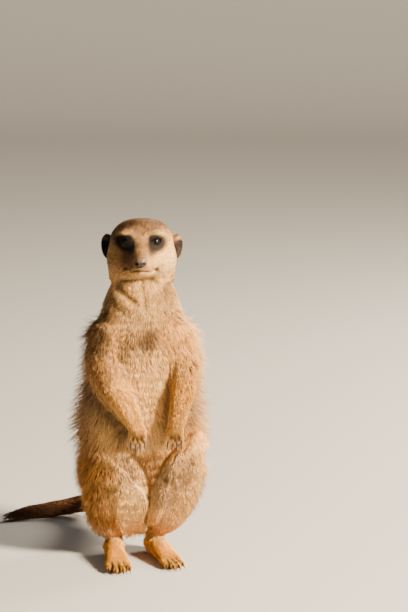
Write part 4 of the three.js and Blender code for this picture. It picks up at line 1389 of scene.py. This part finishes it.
def regions(place):
    """By coat piece: the name of a slot, and the roots that it grows from."""
    x, y, z = place.points.T
    stem = np.array(STEMS)[place.fields.argmin(0)]
    turn = bearing(place.points)
    head, trunk = stem == "head", stem == "trunk"
    arm, leg = np.isin(stem, ["arm", "fingers"]), np.isin(stem, ["thigh", "lap", "shank"])
    face, over = y - HEAD_AT[1] < FACE_END, z >= HEAD_AT[2]
    front = trunk & (turn < PARTING["front"])
    back = trunk & (turn >= PARTING["back"])
    flank = trunk & ~front & ~back
    throat, upper = z >= PARTING["throat"], z >= PARTING["upper_back"]
    return {
        "fur_head_face": ("coat_head", head & face),
        "fur_head_crown": ("coat_head", head & ~face & over),
        "fur_head_cheeks": ("coat_head", head & ~face & ~over),
        "fur_throat": ("coat_chest", front & throat),
        "fur_belly": ("coat_belly", front & ~throat),
        "fur_flank_left": ("coat_belly", flank & (x > 0)),
        "fur_flank_right": ("coat_belly", flank & (x <= 0)),
        "fur_back_upper": ("coat_chest", back & upper),
        "fur_back_lower": ("coat_belly", back & ~upper),
        "fur_arm_left": ("coat_arm", arm & (x > ARM_MIDDLE)),
        "fur_arm_right": ("coat_arm", arm & (x <= ARM_MIDDLE)),
        "fur_leg_left": ("coat_leg", leg & (x > LEG_MIDDLE)),
        "fur_leg_right": ("coat_leg", leg & (x <= LEG_MIDDLE)),
        "fur_feet": ("coat_foot", np.isin(stem, ["foot", "toes"])),
        "fur_tail": ("coat_tail", stem == "tail"),
    }


def tuft_colours(colours, flecked, long, locks, kind, rng):
    """Dark at the root and pale at the tip, each lock in a tone of its own, some hairs dark."""
    count = len(colours)
    lock_tone = rng.normal(0, 1, locks.max() + 1)[locks]
    tone = np.exp(rng.normal(0, 0.16, count) + lock_tone * (0.1 + 0.22 * flecked))
    tone = tone * np.where(rng.uniform(size=count) < 0.27 * flecked, 0.38, 1)
    ring_count = len(KINDS[kind])
    steps = np.append(np.repeat(np.arange(ring_count), 3), ring_count) / ring_count
    root = 0.66 - 0.48 * long
    tip = 1.16 + 0.5 * long
    shade = root[:, None] + (tip - root)[:, None] * steps[None] ** 0.8
    shaded = (colours[:, None] * (tone[:, None] * shade)[:, :, None]).reshape(-1, 3)
    return shaded * np.minimum(1, BRIGHTEST / shaded.max(1))[:, None]


# ---- materials
# Painted in the markings, with their painted light and shade: roughness, specular, the grain's scale
# and amount, and where it also raises the surface, the relief's strength and depth.
PAINTED = {
    "hide": (0.8, 0.25, 900, 0.3, (0.5, 0.0004)),
    "fur": (0.6, 0.22, 420, 0.22, None),
    "nose": (0.45, 0.4, 1400, 0.25, (0.7, 0.0003)),
}
# Of two colours: roughness, specular, the scale of their mottling and the relief's depth.
MOTTLED = {
    "lids": (linear(10, 8, 8), linear(17, 13, 12), 0.85, 0.05, 700, 0.0002),
    "horn": (linear(15, 13, 13), linear(40, 36, 35), 0.4, 0.5, 260, 0.0001),
}
MOTTLE_EDGES = (0.35, 0.65)  # where the two colours are pure
# The eye's colours, from its middle (0) to the point that looks ahead (1).
EYE_STOPS = [
    (0.0, (0.012, 0.009, 0.008)),
    (0.76, (0.005, 0.004, 0.004)),
    (0.83, (0.016, 0.009, 0.006)),
    (0.9, (0.018, 0.01, 0.007)),
    (0.93, (0.002, 0.002, 0.002)),
    (1.0, (0.003, 0.003, 0.003)),
]


def connect(tree, made, inputs):
    """Sets a node's inputs to values or joins them to other nodes' outputs."""
    for name, value in inputs.items():
        if isinstance(value, bpy.types.NodeSocket):
            tree.links.new(value, made.inputs[name])
        else:
            made.inputs[name].default_value = value


def node(tree, kind, inputs, operation=None):
    made = tree.nodes.new("ShaderNode" + kind)
    if operation:
        made.operation = operation
    connect(tree, made, inputs)
    return made


def shader(name, roughness, specular):
    made = bpy.data.materials.new(name)
    made.use_nodes = True
    tree = made.node_tree
    bsdf = tree.nodes["Principled BSDF"]
    connect(tree, bsdf, {"Roughness": roughness, "Specular IOR Level": specular})
    return made, tree, bsdf


def object_coordinates(tree):
    return node(tree, "TexCoord", {}).outputs["Object"]


def grain(tree, scale, detail):
    inputs = {"Scale": scale, "Detail": detail, "Vector": object_coordinates(tree)}
    return node(tree, "TexNoise", inputs).outputs["Fac"]


def bump(tree, height, strength, distance):
    inputs = {"Height": height, "Strength": strength, "Distance": distance}
    return node(tree, "Bump", inputs).outputs["Normal"]


def colour_stops(tree, share, stops):
    """Colours along a share, through stops of a position and a colour each."""
    made = node(tree, "ValToRGB", {"Fac": share})
    elements = made.color_ramp.elements
    for element, (position, colour) in zip(elements, (stops[0], stops[-1])):
        element.position = position
        element.color = (*colour, 1)
    for position, colour in stops[1:-1]:
        elements.new(position).color = (*colour, 1)
    return made.outputs["Color"]


def painted_material(name):
    """The markings, with their painted light and shade, varied by a fine grain, which may also raise the
    surface.
    """
    roughness, specular, scale, amount, relief = PAINTED[name]
    made, tree, bsdf = shader(name, roughness, specular)
    noise = grain(tree, scale, 3)
    spread = node(tree, "MapRange", {"Value": noise, "To Min": 1 - amount, "To Max": 1 + amount})
    attribute = node(tree, "Attribute", {})
    attribute.attribute_name = MARKINGS_AND_LIGHT
    inputs = {0: attribute.outputs["Color"], "Scale": spread.outputs["Result"]}
    connect(tree, bsdf, {"Base Color": node(tree, "VectorMath", inputs, "SCALE").outputs["Vector"]})
    if relief:
        connect(tree, bsdf, {"Normal": bump(tree, noise, *relief)})
    return made


def mottled_material(name):
    """Two colours mixed by a noise that also raises the surface."""
    *colours, roughness, specular, scale, depth = MOTTLED[name]
    made, tree, bsdf = shader(name, roughness, specular)
    noise = grain(tree, scale, 4)
    mix = colour_stops(tree, noise, list(zip(MOTTLE_EDGES, colours)))
    connect(tree, bsdf, {"Base Color": mix, "Normal": bump(tree, noise, 0.6, depth)})
    return made


def eye_material(side):
    """Near black at the pupil, deep brown around it and dark at the rim, under a wet gloss."""
    made, tree, bsdf = shader(f"eye_{side}", 0.05, 0.13)
    inputs = {0: object_coordinates(tree), 1: metres(eye_at(side))}
    offset = node(tree, "VectorMath", inputs, "SUBTRACT").outputs["Vector"]
    inputs = {0: offset, 1: eye_frame(side)[0]}
    ahead = node(tree, "VectorMath", inputs, "DOT_PRODUCT").outputs["Value"]
    share = node(tree, "Math", {0: ahead, 1: EYE["r"] / MM}, "DIVIDE").outputs["Value"]
    connect(tree, bsdf, {"Base Color": colour_stops(tree, share, EYE_STOPS)})
    return made


# ---- skin
SKIN_GRID = {"low": (-126.0, -62.0, -2.0), "high": (60.0, 138.0, 292.0), "step": 1.25}


def about_head(points):
    return (points[:, 2] > 234) & (points[:, 1] < 34)


def about_face(points):
    """The eyes, the mouth and the nose."""
    near = np.zeros(len(points), bool)
    for side in SIDES:
        near |= np.linalg.norm(points - eye_at(side), axis=1) < EYE["r"] + 2.6
    local = points - HEAD_AT
    near |= (mouth_distance(points) < 2.2) & (local[:, 1] < -14)
    near |= np.linalg.norm(local - NOSE_AT, axis=1) < 6.5
    return near


def about_lids(points):
    near = np.zeros(len(points), bool)
    for side in SIDES:
        q = points - eye_at(side)
        away = np.linalg.norm(q, axis=1)
        near |= (away < EYE["r"] + 1.7) & (q @ eye_frame(side)[0] / away > 0.5)
    return near


def keep_largest(piece):
    """Drops scraps that aren't joined to the piece's main surface."""
    net = bmesh.new()
    net.from_mesh(piece.data)
    left = set(net.verts)
    islands = []
    while left:
        stack = [left.pop()]
        island = set(stack)
        while stack:
            for edge in stack.pop().link_edges:
                for vertex in edge.verts:
                    if vertex in left:
                        left.remove(vertex)
                        island.add(vertex)
                        stack.append(vertex)
        islands.append(island)
    biggest = max(islands, key=len)
    drop = [v for island in islands if island is not biggest for v in island]
    bmesh.ops.delete(net, geom=drop, context="VERTS")
    net.to_mesh(piece.data)
    net.free()


def make_skin():
    """One closed skin, halved in its faces on the head, again about the face and again on the lids."""
    low, high, step = SKIN_GRID.values()
    vertices, quads = surface_net(sampled(skin_field, low, high, step), low, step)
    vertices = settle(skin_field, vertices)
    vertices[:, 2] = np.maximum(vertices[:, 2], LOWEST["skin"])
    piece = mesh_object("skin", vertices, quads)
    for picks in (about_head, about_face, about_lids):
        refine(piece, picks, skin_field)
    place = Place(vertices_of(piece))
    paint(piece, markings_and_painted_light(place) * (0.72 - 0.5 * shaggy(place))[:, None])
    keep_largest(piece)
    return piece


# ---- eyes, nose, ears and claws
# By limb: how far the claws' roots are raised, how far the tips droop, and what is added to the
# length.
CLAW_LIE = {"front": (0, 1.8, 0), "hind": (1.3, 3.3, CLAW["buried"])}
NOSE_BOX = (5.5, 5.5, 5.5)
EAR_BOX = (10.0, 12.0, 14.0)
EAR_HAIRS = 7000
# By side: the ear's own colour and the colour of its lit upper edge.
EAR_COLOURS = {
    "right": (BLACK, linear(96, 70, 52)),
    "left": (linear(58, 42, 33), linear(186, 134, 82)),
}


def ring_faces(count, around):
    """Quads between rings of vertices, and fans about the two last vertices at the ends."""
    k = np.arange(around)
    after = (k + 1) % around
    quads = []
    for a in range(0, (count - 1) * around, around):
        b = a + around
        quads.append(np.stack([a + k, a + after, b + after, b + k], 1))
    pole, last = count * around, (count - 1) * around
    ends = [
        np.stack([np.full(around, pole), after, k], 1),
        np.stack([np.full(around, pole + 1), last + k, last + after], 1),
    ]
    return [np.concatenate(quads), np.concatenate(ends)]


def tube(path, radii, sides):
    """A closed round tube along a path: vertices and faces."""
    path = np.array(path, float)
    ways = unit(np.gradient(path, axis=0))
    upright = np.abs(ways[:, 2:]) > 0.9
    side = unit(np.cross(ways, np.where(upright, [[1.0, 0.2, 0]], [[0, 0, 1.0]])))
    up = np.cross(side, ways)
    angles = np.arange(sides) * 2 * math.pi / sides
    ring = side[:, None] * np.cos(angles)[None, :, None] + up[:, None] * np.sin(angles)[None, :, None]
    vertices = (path[:, None] + ring * np.array(radii)[:, None, None]).reshape(-1, 3)
    return np.concatenate([vertices, path[:1], path[-1:]]), ring_faces(len(path), sides)


def add_piece(name, shape, material, node_name=None):
    piece = mesh_object(name, *shape)
    piece.data.materials.append(material)
    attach(piece, "root")
    if node_name:
        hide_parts(node_name)
    return piece


def eyeball(side):
    """A sphere with a low cornea that bulges ahead."""
    out, across, up = eye_frame(side)
    around, along = 48, 30
    turn = np.arange(around) * 2 * math.pi / around
    circle = across * np.cos(turn)[:, None] + up * np.sin(turn)[:, None]
    rings = []
    for j in range(1, along):
        angle = math.pi * j / along
        radius = EYE["r"] + CORNEA * math.exp(-((angle / 0.55) ** 2))
        rings.append((out * math.cos(angle) + circle * math.sin(angle)) * radius)
    poles = np.array([out * (EYE["r"] + CORNEA), -out * EYE["r"]])
    # The rings run backwards, so the faces' vertices are taken in reverse.
    faces = [np.roll(f[:, ::-1], 1, axis=1) for f in ring_faces(along - 1, around)]
    return np.concatenate(rings + [poles]) + eye_at(side), faces


def lid_rim(side):
    """The dark wet edge of the lids, an almond about the opening."""
    out, across, up = eye_frame(side)
    turn = np.linspace(0, 2 * math.pi, 49)
    wide = 3.42 * np.cos(turn)
    high = 2.66 * np.sin(turn) * (1 - 0.25 * np.abs(np.cos(turn)) ** 3) - 0.25
    reach = np.sqrt(np.maximum(EYE["r"] ** 2 - wide**2 - high**2, 0.1))
    rays = out * reach[:, None] + across * wide[:, None] + up * high[:, None]
    path = eye_at(side) + unit(rays) * (EYE["r"] + 0.22)
    return tube(path, np.full(len(path), 0.4), 8)


def net_of(field, middle, half, step):
    low = middle - np.array(half)
    axes = [low[i] + step * np.arange(int(2 * half[i] / step) + 2) for i in range(3)]
    values = field(grid_points(axes)).reshape([len(a) for a in axes])
    vertices, quads = surface_net(values, low, step)
    return settle(field, vertices, 2, step), quads


def nose_field(points):
    q = points - HEAD_AT - NOSE_AT
    pad = nose_pad(q)
    for flip in (1, -1):
        hole = np.linalg.norm((q - (flip * 2.5, -3.4, -0.9)) / (1.15, 2.0, 0.95), axis=1)
        slit = np.linalg.norm((q - (flip * 3.8, -2.0, -1.5)) / (1.5, 1.6, 0.5), axis=1)
        pad = np.maximum(pad, (1 - hole) * 0.9)
        pad = np.maximum(pad, (1 - slit) * 0.6)
    return pad + 0.5 * near_line(q[:, 0], 0.35) * (q[:, 2] < 0.2)


def make_face():
    leather, rim = painted_material("nose"), mottled_material("lids")
    shape = net_of(nose_field, HEAD_AT + NOSE_AT, NOSE_BOX, 0.24)
    nose = add_piece("nose_pad", shape, leather, "nose")
    q = vertices_of(nose) - HEAD_AT - NOSE_AT
    # Painted light: the nose's top lighter, as where light falls on it. Painted shade: black in the
    # nostrils.
    marks = [(linear(104, 72, 50), ramp(q[:, 2] - 0.3 * q[:, 1], 0.4, 3.6) * 0.85)]
    for flip in (1, -1):
        marks.append((BLACK * 0.5, spot(q, (flip * 2.6, -3.6, -0.9), (1.5, 2.4, 1.2), 0.5)))
    paint(nose, layered(np.tile(linear(46, 33, 29), (len(q), 1)), marks))
    for side in SIDES:
        add_piece(f"eyeball_{side}", eyeball(side), eye_material(side), f"eye_{side}")
        add_piece(f"lid_rim_{side}", lid_rim(side), rim)


def turned_back(points, turn):
    """The reverse of a turn about X, then Y, then Z."""
    for axis in (2, 1, 0):
        u, v = (axis + 1) % 3, (axis + 2) % 3
        c, s = math.cos(turn[axis]), math.sin(turn[axis])
        a, b = points[:, u].copy(), points[:, v].copy()
        points = points.copy()
        points[:, u], points[:, v] = a * c + b * s, b * c - a * s
    return points


def ear_at(side):
    return HEAD_AT + (FLIP[side] * EAR["x"], EAR["y"], EAR["z"])


def ear_field(side):
    """A hollowed cup with a ridge inside."""
    flip = FLIP[side]
    at = ear_at(side)
    turn = np.array([0.1, flip * 0.16, flip * -0.35])

    def level(points, middle, radii):
        q = turned_back(points - middle, turn)
        k = np.maximum(np.linalg.norm(q / radii, axis=1), 1e-6)
        return np.linalg.norm(q, axis=1) * (1 - 1 / k)

    def field(points):
        shell = level(points, at, np.array(EAR["size"]) - 0.5)
        hollow = level(points, at + (flip * 3.6, -4.4, 0.4), (4.7, 6.0, 8.4))
        ridge = level(points, at + (flip * 0.4, -2.6, -2.2), (2.4, 1.4, 4.4))
        return smooth_min(np.maximum(shell, -hollow), np.maximum(ridge, shell), 1.4)

    return field


def ear_colours(side, points):
    own, lit = EAR_COLOURS[side]
    local = points - ear_at(side)
    top = ramp(local[:, 2], 4.0, 8.5) * (1 - 0.4 * ramp(local[:, 1], 2, 8))
    return blend(np.tile(own, (len(local), 1)), lit, top)


def spread_roots(points, quads, count, rng):
    """Random points spread evenly over quads."""
    corners = points[quads]
    diagonals = np.cross(corners[:, 2] - corners[:, 0], corners[:, 3] - corners[:, 1])
    area = np.linalg.norm(diagonals, axis=1)
    c = corners[rng.choice(len(quads), count, p=area / area.sum())]
    u, v = rng.uniform(size=(2, count, 1))
    return (c[:, 0] * (1 - u) + c[:, 1] * u) * (1 - v) + (c[:, 3] * (1 - u) + c[:, 2] * u) * v


def make_ear(side, fur, hide_cover, rng):
    field, at = ear_field(side), ear_at(side)
    shape = net_of(field, at, EAR_BOX, 0.5)
    shell = add_piece(f"ear_skin_{side}", shape, hide_cover, f"ear_{side}")
    points = vertices_of(shell)
    paint(shell, ear_colours(side, points) * 0.8)
    quads = np.array([p.vertices[:] for p in shell.data.polygons])
    roots = spread_roots(points, quads, EAR_HAIRS, rng)
    normals = unit(gradient(field, roots, 0.4))
    lie = roots - at + np.array([0, 3.0, 5.0])
    lie = unit(lie - normals * dots(lie, normals)[:, None] + rng.normal(0, 0.2, roots.shape))
    length = rng.uniform(1.0, 2.0, EAR_HAIRS)
    line = stations(roots, normals, lie, length, np.full(EAR_HAIRS, 0.5), "straight")
    shape = tuft_mesh(line, normals, lie, np.full(EAR_HAIRS, 0.36), "straight")
    piece = add_piece(f"ear_fur_{side}", shape, fur)
    plain, locks = np.zeros(EAR_HAIRS), np.arange(EAR_HAIRS)
    paint(piece, tuft_colours(ear_colours(side, roots), plain, plain, locks, "straight", rng))
    x, y, z = (roots - at).T
    spots = fitted(np.stack([np.arctan2(y, z), FLIP[side] * x], 1))
    add_bake_map(piece, tuft_uvs(spots, 1), shape[1])


def claw_shape(limb, tip, way):
    lift, droop, ahead = CLAW_LIE[limb]
    length, down = CLAW[limb] + ahead, np.array([0, 0, -1.0])
    shares = np.linspace(0, 1, 9)
    path = [tip + way * (s * length - CLAW["buried"]) + down * (s * s * droop - lift) for s in shares]
    radii = CLAW["root"] + (CLAW["tip"] - CLAW["root"]) * shares**1.3
    return tube(path, radii, 10)


def make_claws(side, horn):
    for limb, toes in (("front", front_toes(side)), ("hind", hind_toes(side))):
        for number, (_, tip, way) in enumerate(toes, 1):
            name = f"{limb}_{side}_{number}"
            add_piece(f"nail_{name}", claw_shape(limb, tip, way), horn, f"claw_{name}")


# ---- camera, light and floor
# The camera looks at the aim. The picture's height is that of the photo's frame at the animal.
CAMERA = {"aim": (51.25, 0, 212.9), "tilt": math.radians(11), "away": 2300.0}
PICTURE = 501.84
SENSOR = 36
# In metres: where the lights point, and by light its place, size, power and colour.
LIT_AT = (0, 0, 0.16)
LIGHTS = {
    "key": ((1.8, -1.15, 1.0), 0.45, 360, (1.0, 0.875, 0.67)),
    "rim": ((1.1, 0.8, 0.75), 0.4, 30, (1.0, 0.88, 0.72)),
}
SKY, SKY_STRENGTH = (0.68, 0.68, 0.69, 1), 0.3
FLOOR_COLOUR = (0.52, 0.49, 0.45, 1)
# The floor in metres: half its width, its edges, the bend's radius and the backdrop's height.
FLOOR = {"half": 9.0, "front": -12.0, "back": 2.6, "bend": 1.2, "top": 4.0}


def make_camera():
    tilt, away = CAMERA["tilt"], CAMERA["away"]
    data = bpy.data.cameras.new("camera")
    data.lens = SENSOR * away / PICTURE
    data.sensor_width = SENSOR
    made = new_object("camera", data)
    made.location = metres(CAMERA["aim"] + away * np.array([0, -math.cos(tilt), math.sin(tilt)]))
    made.rotation_euler = (math.pi / 2 - tilt, 0, 0)
    bpy.context.scene.camera = made


def make_light(name, place, size, power, colour):
    data = bpy.data.lights.new(name, "AREA")
    data.size = size
    data.energy = power
    data.color = colour
    made = new_object(name, data)
    made.location = place
    made.rotation_euler = (Vector(LIT_AT) - Vector(place)).to_track_quat("-Z", "Y").to_euler()


def make_floor():
    """A pale floor that turns up into a backdrop far behind."""
    half, front, back, bend, top = FLOOR.values()
    turns = np.linspace(0, math.pi / 2, 16)[1:]
    profile = [(front, 0.0), (back, 0.0)]
    profile += [(back + bend * math.sin(a), bend * (1 - math.cos(a))) for a in turns]
    profile.append((back + bend, top))
    vertices = [(x, y, z) for y, z in profile for x in (-half, half)]
    faces = [(2 * i, 2 * i + 1, 2 * i + 3, 2 * i + 2) for i in range(len(profile) - 1)]
    mesh = bpy.data.meshes.new("floor")
    mesh.from_pydata(vertices, [], faces)
    mesh.polygons.foreach_set("use_smooth", [True] * len(faces))
    made, tree, bsdf = shader("floor", 0.9, 0.1)
    connect(tree, bsdf, {"Base Color": FLOOR_COLOUR})
    mesh.materials.append(made)
    return new_object("floor", mesh)


def make_stage():
    make_floor()
    world = bpy.data.worlds.new("world")
    world.use_nodes = True
    sky = {"Color": SKY, "Strength": SKY_STRENGTH}
    connect(world.node_tree, world.node_tree.nodes["Background"], sky)
    bpy.context.scene.world = world
    for name, light in LIGHTS.items():
        make_light(name, *light)


# ---- the scene
make_camera()
make_stage()
rng = np.random.default_rng(SEED)
hide_cover, fur, horn = painted_material("hide"), painted_material("fur"), mottled_material("horn")

hide = make_skin()
hide.data.materials.append(hide_cover)
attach(hide, "root")
FLESH = ["head", "neck", "chest", "belly", "tail_root", "tail_middle", "tail_tip"]
for side in SIDES:
    FLESH += [f"{name}_{side}" for name in ("hand", "thigh", "shank", "foot")]
    FLESH += [f"arm_{side}_upper", f"arm_{side}_lower"]
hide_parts(*FLESH)

place, normals = sprout(hide, skin_field, rng)
for name, (slot, pick) in regions(place).items():
    piece = coat_piece(name, place.picked(pick), normals[pick], skin_field, rng)
    piece.data.materials.append(fur)
    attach(piece, "root")

make_face()
for side in SIDES:
    make_ear(side, fur, hide_cover, rng)
    make_claws(side, horn)
